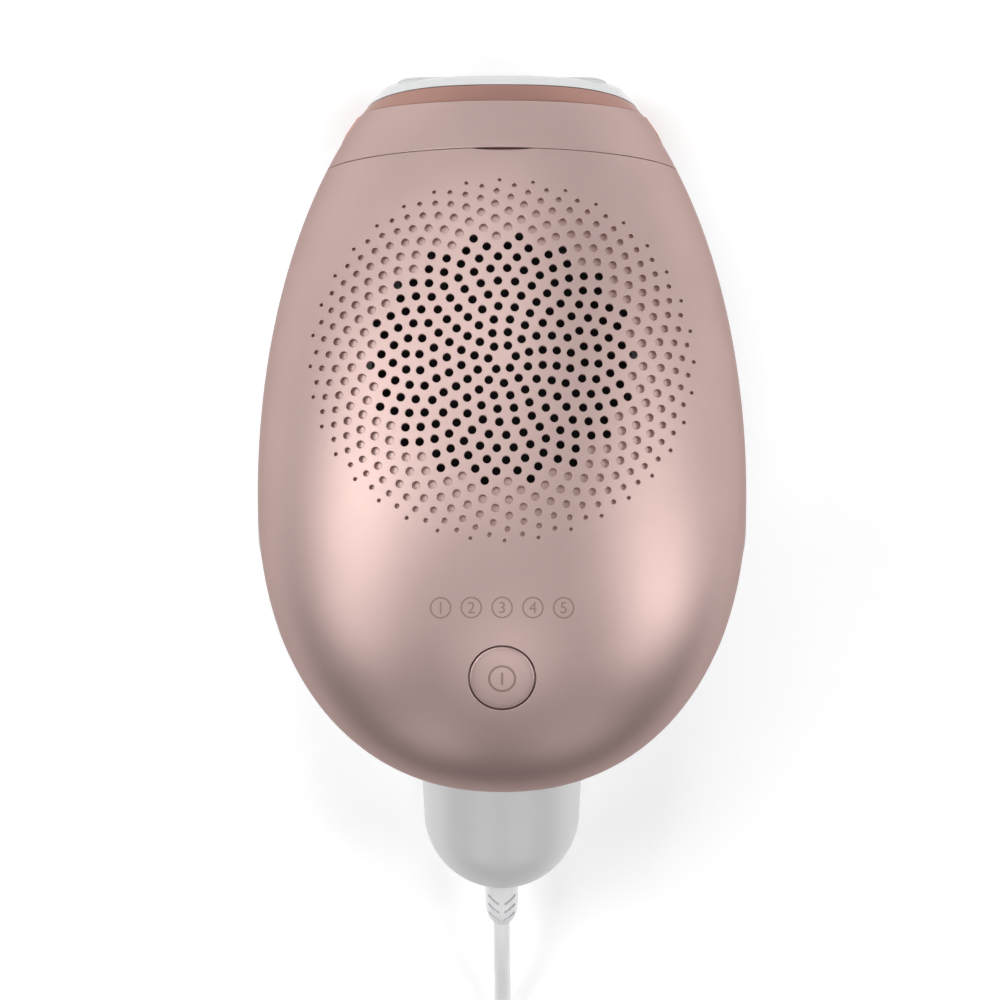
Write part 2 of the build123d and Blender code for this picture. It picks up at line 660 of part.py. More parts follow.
def make_adapter():
    """Base and cover shells, pins, strain relief, board and transformer of the wall adapter."""
    width, length, height = ADAPTER_SIZE
    y_mid = ADAPTER_FRONT_Y - length / 2
    outer = fillet((Pos(0, y_mid, height / 2) * Box(width, length, height)).edges().filter_by(Axis.Z), 8)
    outer = fillet(outer.edges().group_by(Axis.Z)[0] + outer.edges().group_by(Axis.Z)[-1], 2.5)
    cavity = Pos(0, y_mid, height / 2) * Box(width - 5, length - 5, height - 5)
    exit_hole = rod((0, ADAPTER_FRONT_Y + 5, ADAPTER_EXIT_Z), (0, ADAPTER_FRONT_Y - 5, ADAPTER_EXIT_Z), 3.2)
    shell = outer - cavity - exit_hole
    pins = []
    for side in (-1, 1):
        x = side * PIN_SPACING / 2
        shell -= post(x, y_mid - 12, PIN_R - 0.5, height - 8, height + 5)
        pin = post(x, y_mid - 12, PIN_R, height, height + PIN_LENGTH)
        pin = fillet(pin.edges().group_by(Axis.Z)[-1], 1.2)
        pins.append((pin + post(x, y_mid - 12, PIN_R - 0.5, height - 6.0, height)).solid())
    split = height - 9.0
    base = shell & block((-BIG, BIG), (-BIG, BIG), (-BIG, split))
    cover = shell & block((-BIG, BIG), (-BIG, BIG), (split, BIG))
    relief = rod((0, ADAPTER_FRONT_Y - 3.0, ADAPTER_EXIT_Z), (0, ADAPTER_FRONT_Y, ADAPTER_EXIT_Z), 3.2)
    relief += Pos(0, ADAPTER_FRONT_Y, ADAPTER_EXIT_Z) * (
        Rot(-90, 0, 0) * (Pos(0, 0, 6) * Cone(3.2, 2.3, 12))
    )
    board = block((-17, 17), (y_mid - 30, y_mid + 30), (4.5, 6.1))
    transformer = block((-9, 9), (y_mid - 2, y_mid + 20), (6.1, 20))
    return base, cover, Compound(children=pins), relief, board, transformer


def make_screws():
    """Six screws up through the back shell into the front shell."""
    screws = []
    for x, y in SCREW_PLACES:
        screw = post(x, y, SCREW_R, SCREW_HEAD_Z - 0.01, SCREW_TIP_Z)
        screw += post(x, y, SCREW_HEAD_R, SCREW_HEAD_Z - 1.8, SCREW_HEAD_Z)
        screw -= Pos(x, y, SCREW_HEAD_Z - 1.4) * Box(0.6, 2.6, 1.0)
        screw -= Pos(x, y, SCREW_HEAD_Z - 1.4) * Box(2.6, 0.6, 1.0)
        screws.append(screw.solid())
    return Compound(children=screws)


def make_fan_screws():
    screws = []
    for x, y in fan_ears():
        screw = post(x, y, 0.9, CHASSIS_Z[0], FAN_BASE_Z + 2.0)
        screw += post(x, y, 1.8, FAN_BASE_Z + 2.0, FAN_BASE_Z + 3.2)
        screws.append(screw.solid())
    return Compound(children=screws)


def make_dust_screen():
    """Fine dark screen that lies on the fan's ring, behind the vents."""
    return post(0, FAN_Y, SCREEN_R, FAN_BASE_Z + FAN_HEIGHT, FAN_BASE_Z + FAN_HEIGHT + SCREEN_THICKNESS)


def make_contacts():
    """Three pins on the window frame, and the block behind the trim ring that they touch."""
    pins = [rod((x, 66.0, CONTACT_Z), (x, 67.5, CONTACT_Z), 0.7).solid() for x in CONTACT_X]
    pad = block((CONTACT_X[0] - 3, CONTACT_X[-1] + 3), (67.6, CAP_END_Y), (CONTACT_Z - 2, CONTACT_Z + 2))
    return Compound(children=pins), pad


# ---- build everything ----
add("front_shell", make_front_shell())
add("back_shell", make_back_shell())
outer_cover, inner_cover = make_handle_covers()
add("handle_outer_cover", outer_cover)
add("handle_inner_cover", inner_cover)
cap_top, cap_bottom, trim, lip, duct = make_attachment()
add("attachment_cap", cap_top)
add("attachment_underside", cap_bottom)
add("trim_ring", trim)
add("window_lip", lip)
add("attachment_duct", duct)
add("safety_ring", make_safety_ring())
add("window_frame", make_window_frame())
add("filter_glass", slab_bar((37.8, 16.8), 2.4, 64.0, 66.0))
add("lamp_reflector", make_reflector())
add("lamp_holder", make_lamp_holder())
add("flash_lamp", rod((-22, LAMP_Y, 0), (22, LAMP_Y, 0), LAMP_R))
lamp_ends = [rod((side * 22, LAMP_Y, 0), (side * 25.5, LAMP_Y, 0), 2.2).solid() for side in (-1, 1)]
add("lamp_terminals", Compound(children=lamp_ends))
add("heat_sink", make_heat_sink())
fan_names = ("fan_frame", "fan_bearing", "fan_stator", "fan_rotor", "fan_magnet", "fan_shaft")
for name, shape in zip(fan_names, make_fan()):
    add(name, shape)
add("fan_screws", make_fan_screws())
add("chassis", make_chassis())
add("dust_screen", make_dust_screen())
contact_pins, contact_block = make_contacts()
add("contact_pins", contact_pins)
add("contact_block", contact_block)
add("main_board", make_main_board())
add("board_components", make_board_components())
add("control_board", make_control_board())
leds, guides = number_leds()
add("number_leds", leds)
add("light_guides", guides)
add("power_button", make_power_button())
add("power_switch", make_power_switch())
add("power_switch_plunger", on_plane(button_plane, Circle(1.2), -7.0, -5.0))
add("power_button_spring", tube_on(button_plane, 5.6, 4.9, -8.0, -3.9))
add("flash_button", make_flash_button())
add("flash_switch", make_trigger_switch())
add("flash_switch_plunger", on_plane(trigger_plane, Circle(1.0), -10.6, -7.9))
add("flash_button_spring", tube_on(trigger_plane, 3.1, 2.4, -9.6, -6.0))
add("switch_bracket", on_plane(trigger_plane, Rectangle(16, 18), -16.9, -15.5))
add("flash_capacitor", rod(handle_axis @ 0.60, handle_axis @ 0.88, 11.5))
clamp_mid = handle_axis @ 0.74
clamp_axis = (handle_axis @ 0.88 - handle_axis @ 0.60).normalized()
clamp_start = (handle_axis @ 0.60 + handle_axis @ 0.88) * 0.5 - clamp_axis * 4
add("capacitor_clamp", extrude(Plane(clamp_start, z_dir=clamp_axis) * (Circle(12.8) - Circle(11.5)), 8))
add("dc_socket", make_socket())
add("head_screws", make_screws())
add("lead_plug", make_plug(), on_floor=True)
add("lead_first", cord_tube(ROUTE_OUT), on_floor=True)
add("lead_last", cord_tube(ROUTE_BACK), on_floor=True)
add("lead_coil", make_coil(), on_floor=True)
adapter_names = (
    "adapter_base", "adapter_cover", "adapter_pins", "adapter_relief", "adapter_board", "adapter_transformer",
)
for name, shape in zip(adapter_names, make_adapter()):
    add(name, shape, on_floor=True)

os.makedirs("parts", exist_ok=True)
for name, shape in parts.items():
    export_step(shape, f"parts/{name}.step")
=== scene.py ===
"""Visual model of a corded pulsed-light hair remover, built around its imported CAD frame."""
import json
import math

import bmesh
import bpy
import numpy as np
from mathutils import Matrix, Vector
from mathutils.geometry import delaunay_2d_cdt

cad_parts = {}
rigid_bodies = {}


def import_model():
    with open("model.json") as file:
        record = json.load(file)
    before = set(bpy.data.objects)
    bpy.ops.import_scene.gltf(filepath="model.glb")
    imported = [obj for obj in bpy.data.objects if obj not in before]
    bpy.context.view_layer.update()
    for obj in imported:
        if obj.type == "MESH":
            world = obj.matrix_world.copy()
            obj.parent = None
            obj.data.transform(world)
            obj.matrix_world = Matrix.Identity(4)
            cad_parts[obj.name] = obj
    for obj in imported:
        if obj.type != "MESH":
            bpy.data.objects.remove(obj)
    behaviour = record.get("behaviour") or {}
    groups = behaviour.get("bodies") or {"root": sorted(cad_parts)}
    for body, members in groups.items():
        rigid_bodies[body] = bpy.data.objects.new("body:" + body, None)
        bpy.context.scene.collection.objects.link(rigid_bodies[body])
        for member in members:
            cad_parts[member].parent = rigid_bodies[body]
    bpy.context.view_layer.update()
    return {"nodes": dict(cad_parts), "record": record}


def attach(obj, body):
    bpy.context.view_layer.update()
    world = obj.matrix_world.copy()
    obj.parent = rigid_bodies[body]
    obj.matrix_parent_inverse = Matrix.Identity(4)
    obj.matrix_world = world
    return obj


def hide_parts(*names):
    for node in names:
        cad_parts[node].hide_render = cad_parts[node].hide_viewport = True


for leftover in list(bpy.data.objects):
    bpy.data.objects.remove(leftover)

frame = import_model()
nodes = frame["nodes"]
scene = bpy.context.scene

MM = 0.001
TAU = 2 * math.pi

# ---- the head's frame, in millimetres: X across, Y towards the window, Z out of the control face ----
HALF_WIDTH = 46.1
NOSE_REACH = 87.8
TAIL_REACH = 56.9
TAIL_POWER = 2.2
TOP_HEIGHT = 28.0
BOTTOM_HEIGHT = 31.0
WALL_SHARE = 0.9436           # inner wall as a share of the outer one
PITCH = math.radians(30)       # nose-down tilt of the resting device
REST_DEPTH = 1.0              # depth of the flats that the device rests on
ORIGIN_Z = math.hypot(NOSE_REACH * math.sin(PITCH), BOTTOM_HEIGHT * math.cos(PITCH)) - REST_DEPTH
SEAM_Y = 61.9                 # seam between the shell and the attachment, on the middle line
SEAM_ARC_R = 440.0
SEAM_SHOWN = 0.08             # width of the seam
CAP_END_Y = 71.45
NOSE_END_Y = 76.9
LIP_BASE_Y = 74.75            # end of the trim ring in the middle; it drops towards its sides
LIP_BASE_DROP = 2.0
LIP_BASE_X = 26.1             # where the whole drop is reached
HANDLE_END_R = 16.0
HANDLE_END_Y = -59.6
NOSE_TOP_Z = TOP_HEIGHT * math.sqrt(1 - (NOSE_END_Y / NOSE_REACH) ** 2)
NOSE_FRONT = NOSE_END_Y * math.cos(PITCH) + NOSE_TOP_Z * math.sin(PITCH)
HANDLE_END_Z = (HANDLE_END_R - REST_DEPTH - ORIGIN_Z + HANDLE_END_Y * math.sin(PITCH)) / math.cos(PITCH)
HEEL_BACK = HANDLE_END_Y * math.cos(PITCH) + HANDLE_END_Z * math.sin(PITCH) - HANDLE_END_R
ORIGIN_Y = -(NOSE_FRONT + HEEL_BACK) / 2
TURN = np.array([
    [1, 0, 0],
    [0, math.cos(PITCH), math.sin(PITCH)],
    [0, -math.sin(PITCH), math.cos(PITCH)],
])


def place(points):
    """Head's frame in millimetres to the resting frame in metres; nothing sinks into the floor."""
    world = np.asarray(points, float) @ TURN.T + (0, ORIGIN_Y, ORIGIN_Z)
    world[:, 2] = np.maximum(world[:, 2], 0)
    return world * MM


def turn(directions):
    """Directions in the head's frame to the resting frame."""
    return np.asarray(directions, float) @ TURN.T


# ---- camera: it looks down on the control face ----
VIEW_DISTANCE = 0.75
VIEW_TILT = math.radians(65)
AIM_LEFT = 0.00038            # the middle of the view lies beside the head's origin
AIM_DOWN = 0.0019             # and below it
to_camera = Vector((0, math.cos(VIEW_TILT), math.sin(VIEW_TILT)))
view_up = Vector((0, math.sin(VIEW_TILT), -math.cos(VIEW_TILT)))
aim = Vector((-AIM_LEFT, ORIGIN_Y * MM, ORIGIN_Z * MM)) - AIM_DOWN * view_up
camera_data = bpy.data.cameras.new("camera")
camera_data.lens = 143
camera_data.sensor_width = 36
camera_data.clip_start = 0.01
camera = bpy.data.objects.new("camera", camera_data)
scene.collection.objects.link(camera)
camera.matrix_world = Matrix.Translation(aim + VIEW_DISTANCE * to_camera) @ Matrix((
    (1, 0, 0),
    (0, view_up.y, to_camera.y),
    (0, view_up.z, to_camera.z),
)).to_4x4()
scene.camera = camera

# ---- lead: route, coil and route again, in metres ----
CORD_D = 0.0035
FLOOR_Z = CORD_D / 2
LEAD_Y = -0.08835
LEAD_Z = 0.0095
PLUG_LENGTH = 0.0145
COIL_X = 0.0265
COIL_Y = -0.176
COIL_HEIGHT = 0.0144
COIL_R = 0.02065
COLUMN_STEP = 0.0039
LAYER_STEP = 0.0036
COLUMNS = 4
LAYERS = 4
COIL_STEPS = 18               # route points in each turn
COIL_CONTROL_SHARE = 0.985    # the smooth cord lies at this share of its control points' radius
CLIMB = 0.25                  # share of a turn in which the cord climbs to the next layer
ADAPTER_FRONT_Y = -0.228
ADAPTER_LEAD_Z = 0.006
cord_start_y = LEAD_Y - PLUG_LENGTH

ROUTE_OUT = [
    (0.0, cord_start_y, LEAD_Z),
    (0.0, cord_start_y - 0.009, LEAD_Z),
    (0.0003, cord_start_y - 0.024, FLOOR_Z),
    (-0.0007, cord_start_y - 0.047, FLOOR_Z),
    (0.0, COIL_Y + 0.006, FLOOR_Z),
]
ROUTE_BACK = [
    (-0.0004, COIL_Y - 0.004, COIL_HEIGHT - FLOOR_Z),
    (-0.0008, COIL_Y - 0.015, COIL_HEIGHT - 0.0045),
    (0.0, ADAPTER_FRONT_Y + 0.022, ADAPTER_LEAD_Z),
    (0.0, ADAPTER_FRONT_Y + 0.012, ADAPTER_LEAD_Z),
]


def coil_points():
    """Flat spirals on each other, in and out by turns, with a climb between them."""
    spread = COLUMN_STEP * (COLUMNS - 1)
    outer = COIL_R + spread / 2
    spiral = COLUMNS - 1
    layer_turns = spiral + CLIMB
    points = []
    for i in range(1, round(LAYERS * layer_turns * COIL_STEPS)):
        at = i / COIL_STEPS
        layer = min(int(at / layer_turns), LAYERS - 1)
        within = at - layer * layer_turns
        moved = min(max(within - CLIMB, 0) / spiral, 1)
        inward = moved if layer % 2 == 0 else 1 - moved
        levels = layer - 1 + min(within / CLIMB, 1) if layer else 0
        height = FLOOR_Z + LAYER_STEP * levels
        radius = (outer - spread * inward) / COIL_CONTROL_SHARE
        angle = math.pi + TAU * at
        points.append((COIL_X + radius * math.cos(angle), COIL_Y + radius * math.sin(angle), height))
    return points


def nurbs(name, points, radius):
    """Smooth round cord with the points as its control points."""
    curve = bpy.data.curves.new(name, "CURVE")
    curve.dimensions = "3D"
    spline = curve.splines.new("NURBS")
    spline.points.add(len(points) - 1)
    for target, point in zip(spline.points, points):
        target.co = (*point, 1)
        target.radius = radius
    spline.order_u = 3
    spline.use_endpoint_u = True
    spline.resolution_u = 6
    curve.bevel_depth = 1
    curve.bevel_resolution = 8
    curve.use_fill_caps = True
    obj = bpy.data.objects.new(name, curve)
    scene.collection.objects.link(obj)
    return obj


lead = nurbs("lead_cable", ROUTE_OUT + coil_points() + ROUTE_BACK, CORD_D / 2)
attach(lead, "housing")
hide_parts("lead_first", "lead_coil", "lead_last")


# ---- materials ----
BUMP_STRENGTH = 0.35
BROAD_SCALE = 60              # of the soft change in colour; each material's seed is added


def new_material(name, color, roughness, metallic=0.0, **sockets):
    material = bpy.data.materials.new(name)
    material.use_nodes = True
    shader = material.node_tree.nodes["Principled BSDF"]
    shader.inputs["Base Color"].default_value = (*color, 1)
    shader.inputs["Roughness"].default_value = roughness
    shader.inputs["Metallic"].default_value = metallic
    for socket, value in sockets.items():
        shader.inputs[socket.replace("_", " ")].default_value = value
    return material


def grain(material, scale, depth, tint=0.04, rough=0.06, detail=4.0, seed=0.0):
    """Moulded or sprayed finish: fine bumps, with colour and roughness that vary softly."""
    tree = material.node_tree
    shader = tree.nodes["Principled BSDF"]
    place_at = tree.nodes.new("ShaderNodeTexCoord")
    fine = tree.nodes.new("ShaderNodeTexNoise")
    fine.inputs["Scale"].default_value = scale
    fine.inputs["Detail"].default_value = detail
    broad = tree.nodes.new("ShaderNodeTexNoise")
    broad.inputs["Scale"].default_value = BROAD_SCALE + seed
    broad.inputs["Detail"].default_value = 3
    for noise in (fine, broad):
        tree.links.new(place_at.outputs["Object"], noise.inputs["Vector"])
    bump = tree.nodes.new("ShaderNodeBump")
    bump.inputs["Strength"].default_value = BUMP_STRENGTH
    bump.inputs["Distance"].default_value = depth
    tree.links.new(fine.outputs["Fac"], bump.inputs["Height"])
    tree.links.new(bump.outputs["Normal"], shader.inputs["Normal"])
    base = shader.inputs["Base Color"].default_value[:]
    ramp = tree.nodes.new("ShaderNodeValToRGB")
    ramp.color_ramp.elements[0].position = 0.3
    ramp.color_ramp.elements[1].position = 0.7
    ramp.color_ramp.elements[0].color = (*[c * (1 - tint) for c in base[:3]], 1)
    ramp.color_ramp.elements[1].color = (*[min(1, c * (1 + tint)) for c in base[:3]], 1)
    tree.links.new(broad.outputs["Fac"], ramp.inputs["Fac"])
    tree.links.new(ramp.outputs["Color"], shader.inputs["Base Color"])
    level = shader.inputs["Roughness"].default_value
    spread = tree.nodes.new("ShaderNodeMapRange")
    spread.inputs["To Min"].default_value = max(0, level - rough)
    spread.inputs["To Max"].default_value = min(1, level + rough)
    tree.links.new(fine.outputs["Fac"], spread.inputs["Value"])
    tree.links.new(spread.outputs["Result"], shader.inputs["Roughness"])
    return material


ROSE = (0.475, 0.345, 0.325)
ROSE_EDGE = (0.6, 0.5, 0.48, 1)
MATERIALS = {
    "rose_shell": grain(
        new_material("rose_lacquer", ROSE, 0.45, 0.78, Specular_Tint=ROSE_EDGE), 5200, 0.00002, 0.03,
    ),
    "rose_button": grain(
        new_material("rose_button_lacquer", ROSE, 0.44, 0.78, Specular_Tint=ROSE_EDGE),
        5200, 0.00002, 0.03, seed=4,
    ),
    "copper_trim": grain(
        new_material("copper_lacquer", (0.36, 0.20, 0.165), 0.35, 0.85), 4800, 0.00001, 0.03, seed=7,
    ),
    "white_lip": grain(new_material(
        "white_gloss", (0.56, 0.565, 0.57), 0.2, 0, Coat_Weight=0.3, Coat_Roughness=0.06,
    ), 3000, 0.00001, 0.012, seed=9),
    # the housing's white is greyed to 0.60, below the lead's 0.80: partly its own white, partly painted shade
    # of the head over the handle
    "white_housing": grain(
        new_material("white_satin_and_painted_shade", (0.60, 0.60, 0.605), 0.34), 2600, 0.00002, 0.015, seed=11,
    ),
    "grey_ring": grain(
        new_material("grey_satin", (0.60, 0.61, 0.63), 0.34), 2600, 0.00002, 0.02, seed=13,
    ),
    "dark_plastic": grain(
        new_material("black_moulded", (0.035, 0.035, 0.038), 0.46), 2200, 0.00003, 0.1, seed=15,
    ),
    "fan_plastic": grain(
        new_material("fan_black", (0.05, 0.05, 0.055), 0.42), 2200, 0.00003, 0.1, seed=17,
    ),
    "screen_mesh": new_material("screen_black", (0.008, 0.008, 0.009), 0.8),
    "mirror_metal": grain(
        new_material("mirror_aluminium", (0.90, 0.90, 0.91), 0.08, 1), 900, 0.000005, 0.01, 0.02,
    ),
    "heat_sink_metal": grain(
        new_material("matt_aluminium", (0.62, 0.63, 0.65), 0.42, 1), 1600, 0.00002, 0.05,
    ),
    "filter_glass": new_material(
        "amber_filter", (0.95, 0.80, 0.60), 0.03, 0, Transmission_Weight=1.0, IOR=1.5, Coat_Weight=0.3,
    ),
    "lamp_glass": new_material("quartz", (0.96, 0.97, 0.99), 0.02, 0, Transmission_Weight=1.0, IOR=1.46),
    "steel": grain(new_material("zinc_steel", (0.60, 0.60, 0.61), 0.28, 1), 1500, 0.00001, 0.05),
    "chromed_pins": grain(
        new_material("nickel_brass", (0.76, 0.74, 0.70), 0.16, 1), 1500, 0.00001, 0.03,
    ),
    "gold_contacts": grain(new_material("gold_plate", (0.83, 0.62, 0.28), 0.2, 1), 1500, 0.00001, 0.03),
    "bronze_bearing": grain(
        new_material("sintered_bronze", (0.62, 0.42, 0.22), 0.5, 1), 2600, 0.00003, 0.08,
    ),
    "copper_winding": grain(
        new_material("enamelled_copper", (0.65, 0.30, 0.14), 0.3, 1), 1200, 0.00003, 0.12,
    ),
    "board_green": grain(new_material("solder_mask", (0.03, 0.16, 0.08), 0.3), 700, 0.00002, 0.15),
    "board_parts": grain(new_material("moulded_parts", (0.06, 0.06, 0.065), 0.45), 1500, 0.00003, 0.15),
    "capacitor_can": grain(new_material("dark_sleeve", (0.03, 0.04, 0.08), 0.28), 900, 0.00001, 0.08),
    "clear_guide": new_material(
        "clear_acrylic", (0.95, 0.96, 0.98), 0.05, 0, Transmission_Weight=0.9, IOR=1.49,
    ),
    "led_white": grain(new_material("led_package", (0.86, 0.86, 0.74), 0.3), 1200, 0.00001, 0.03),
    "lead_rubber": grain(
        new_material("lead_pvc", (0.80, 0.80, 0.81), 0.40), 1800, 0.00003, 0.03, seed=19,
    ),
    "adapter_white": grain(
        new_material("adapter_satin", (0.80, 0.80, 0.81), 0.42), 1400, 0.00004, 0.02, seed=21,
    ),
    "printed_ink": grain(
        new_material("brown_ink", (0.26, 0.17, 0.15), 0.45, 0.3), 2600, 0.00001, 0.1, seed=23,
    ),
}

for part in frame["record"]["subparts"]:
    node = nodes.get(part["node"])
    material = MATERIALS.get(part.get("material_slot"))
    if node is not None and material is not None:
        node.data.materials.clear()
        node.data.materials.append(material)

lead.data.materials.append(MATERIALS["lead_rubber"])


# ---- the egg's surface ----
def unit(rows):
    """Each row with a length of 1."""
    return rows / np.linalg.norm(rows, axis=1)[:, None]


class Egg:
    """Half of the head: a superellipse tail and an elliptic nose, seen square to the split plane."""

    def __init__(self, height, share=1.0):
        self.half = HALF_WIDTH * share
        self.nose = NOSE_REACH
        self.tail = TAIL_REACH * share
        self.height = height * share

    def factor(self, y):
        """Size of the cross-section at y, as a share of the widest one."""
        tail = np.clip(1 - (np.abs(y) / self.tail) ** TAIL_POWER, 0, None) ** (1 / TAIL_POWER)
        nose = np.sqrt(np.clip(1 - (y / self.nose) ** 2, 0, None))
        return np.where(y < 0, tail, nose)

    def rise(self, x, y):
        """Height of the surface above the split plane."""
        return self.height * np.sqrt(np.clip(self.factor(y) ** 2 - (x / self.half) ** 2, 0, None))

    def normal(self, points):
        x, y, z = points.T
        ratio = np.clip(np.abs(y) / self.tail, 0, 0.9999)
        bend = np.clip(1 - ratio ** TAIL_POWER, 1e-6, None) ** (2 / TAIL_POWER - 1)
        tail = -2 * bend * ratio ** (TAIL_POWER - 1) / self.tail
        along = np.where(y < 0, tail, 2 * y / self.nose ** 2)
        return unit(np.c_[2 * x / self.half ** 2, along, 2 * z / self.height ** 2])

    def to_disc(self, x, y):
        """Flat map of the half egg: the split plane's outline goes to the unit circle."""
        factor = self.factor(y)
        across = x / self.half
        along = np.sign(y) * np.sqrt(np.clip(1 - factor ** 2, 0, None))
        up = np.sqrt(np.clip(factor ** 2 - across ** 2, 0, None))
        return np.c_[across / (1 + up), along / (1 + up)]

    def from_disc(self, flat):
        """Points of the surface from its flat map."""
        square = (flat ** 2).sum(1)
        up = (1 - square) / (1 + square)
        across, along = 2 * flat[:, 0] / (1 + square), 2 * flat[:, 1] / (1 + square)
        factor = np.sqrt(np.clip(1 - along ** 2, 0, None))
        tail = -self.tail * np.clip(1 - factor ** TAIL_POWER, 0, None) ** (1 / TAIL_POWER)
        y = np.where(along < 0, tail, self.nose * along)
        return np.c_[across * self.half, y, up * self.height]


class Builder:
    """Collects points, faces and corner normals, and makes one mesh of them."""

    def __init__(self):
        self.points = []
        self.count = 0
        self.faces = []
        self.normals = []

    def add(self, points):
        """Numbers of the points added."""
        points = np.asarray(points, float)
        self.points.append(points)
        first = self.count
        self.count += len(points)
        return np.arange(first, self.count)

    def face(self, faces, normals):
        """Faces as rows of point numbers, with one normal for each corner."""
        for row, row_normals in zip(np.asarray(faces).tolist(), np.asarray(normals, float)):
            self.faces.append(row)
            self.normals.extend(row_normals)

    def strip(self, lower, upper, lower_normals, upper_normals):
        """Closed band of quads between two loops with as many points."""
        nxt = np.roll(np.arange(len(lower)), -1)
        quads = np.c_[lower, lower[nxt], upper[nxt], upper]
        corner = np.stack([lower_normals, lower_normals[nxt], upper_normals[nxt], upper_normals], 1)
        self.face(quads, corner)

    def fan(self, loop, centre, normals, centre_normal):
        """Closed ring of triangles between a loop and one point."""
        nxt = np.roll(np.arange(len(loop)), -1)
        middle = np.full(len(loop), centre)
        corner = np.stack([normals, normals[nxt], np.tile(centre_normal, (len(loop), 1))], 1)
        self.face(np.c_[loop, loop[nxt], middle], corner)

    def piece(self, name, material):
        """One mesh of all that was collected."""
        points = np.concatenate(self.points)
        mesh = bpy.data.meshes.new(name)
        mesh.from_pydata(place(points).tolist(), [], self.faces)
        mesh.polygons.foreach_set("use_smooth", [True] * len(mesh.polygons))
        mesh.normals_split_custom_set(turn(self.normals).tolist())
        mesh.materials.append(MATERIALS[material])
        return link(name, mesh)


def link(name, mesh):
    obj = bpy.data.objects.new(name, mesh)
    scene.collection.objects.link(obj)
    return obj


def circle(cx, cy, radius, steps):
    angle = np.arange(steps) * TAU / steps
    return np.c_[cx + radius * np.cos(angle), cy + radius * np.sin(angle)]


# ---- vents ----
VENT_Y = 21.9
VENT_PITCH = 2.525
EVEN_RINGS = 7                # farther out, each pitch is a share of the one before
PITCH_SHARE = 0.924
VENT_SQUASH = 0.9475          # height of the field as a share of its width
VENT_COUNTS = [6, 11, 16, 21, 26, 30] + [36] * 12
# degrees from +X to each ring's first vent, clockwise
VENT_STARTS = [55, 20.5, 11.1, 9, 9.2, 3.1, 3.1, 7.9, 2.7, 7.5, 2.4, 7.4, 2.4, 7.6, 2.9, 8.3, 3.8, 9.3]
VENT_HOLE_R = 0.8
LAST_THROUGH_RING = 10        # only every other vent of this ring goes through
DIMPLE_R = {13: 0.765, 14: 0.73, 15: 0.635, 16: 0.555, 17: 0.455, 18: 0.355}
DIMPLE_DEPTH = 0.95
DIMPLE_FLOOR = 0.9            # floor's radius as a share of the dimple's
CIRCLE_STEPS = 22
RIM = 0.09                    # rounding of every rim


def vents():
    """Centre, radius and kind of every vent and dimple."""
    places = []
    radius = 0
    for k, count in enumerate(VENT_COUNTS, start=1):
        radius += VENT_PITCH * PITCH_SHARE ** max(0, k - EVEN_RINGS)
        for i in range(count):
            angle = math.radians(VENT_STARTS[k - 1] + 360 * i / count)
            through = k < LAST_THROUGH_RING or (k == LAST_THROUGH_RING and i % 2 == 1)
            x, y = radius * math.cos(angle), VENT_Y - VENT_SQUASH * radius * math.sin(angle)
            places.append((x, y, DIMPLE_R.get(k, VENT_HOLE_R), through))
    return places


# ---- button and numbers ----
BUTTON_Y = -36.6
BUTTON_R = 5.95
OPENING_R = 6.25
NUMBER_Y = -23.8
NUMBER_PITCH = 5.6
OPENING_STEPS = 72
upper = Egg(TOP_HEIGHT)
button_at = np.array([0, BUTTON_Y, float(upper.rise(np.zeros(1), np.array([BUTTON_Y]))[0])])
button_slope = float(np.diff(upper.rise(np.zeros(2), np.array([BUTTON_Y - 0.5, BUTTON_Y + 0.5])))[0])
button_up = np.array([0, -button_slope, 1]) / math.hypot(button_slope, 1)
button_north = np.cross(button_up, (1, 0, 0))


def on_button_axis(radius, egg, steps):
    """Where a cylinder about the button's axis meets a surface."""
    angle = np.arange(steps) * TAU / steps
    points = button_at + radius * (np.cos(angle)[:, None] * (1, 0, 0) + np.sin(angle)[:, None] * button_north)
    for _ in range(12):
        points = points + (egg.rise(points[:, 0], points[:, 1]) - points[:, 2])[:, None] * button_up
    return points


# ---- front shell ----
ARC_STEPS = 220
SEAM_STEPS = 96
EDGE_Z = 0.35                 # where the surface ends above the split plane
EDGE_BOTTOM_Z = 0.08          # the rim goes on to here
OUTER_SPACING = 0.017         # of grid points in the flat map
INNER_SPACING = 0.024
ROW_SHARE = 0.866             # height of an even triangle
HOLE_MARGIN = 0.32            # no loose grid points closer than this to a hole
SEAM_MARGIN = 0.5             # or to the seam
NOTCH_HALF = 5.7
NOTCH_DEPTH = 0.42


def seam_line(x, y0, notch):
    """The seam's shallow arc, with a finger notch in its middle."""
    return y0 - x ** 2 / (2 * SEAM_ARC_R) - notch * np.clip(1 - (x / NOTCH_HALF) ** 2, 0, None)


def outline(egg, seam_y, notch):
    """Flat map of the shell's edge: along the seam, then round the tail."""
    sweep = np.linspace(0, math.pi, SEAM_STEPS)
    y = np.full(SEAM_STEPS, seam_y)
    for _ in range(8):
        factor = egg.factor(y)
        low = np.arcsin(EDGE_Z / (egg.height * factor))
        x = egg.half * factor * np.cos(low + sweep * (1 - 2 * low / math.pi))
        y = seam_line(x, seam_y, notch)
    seam = egg.to_disc(x, y)
    reach = np.hypot(*seam[0])
    first, last = math.atan2(seam[-1][1], seam[-1][0]), math.atan2(seam[0][1], seam[0][0]) + TAU
    angle = np.linspace(first, last, ARC_STEPS + 2)[1:-1]
    return np.r_[seam, reach * np.c_[np.cos(angle), np.sin(angle)]]


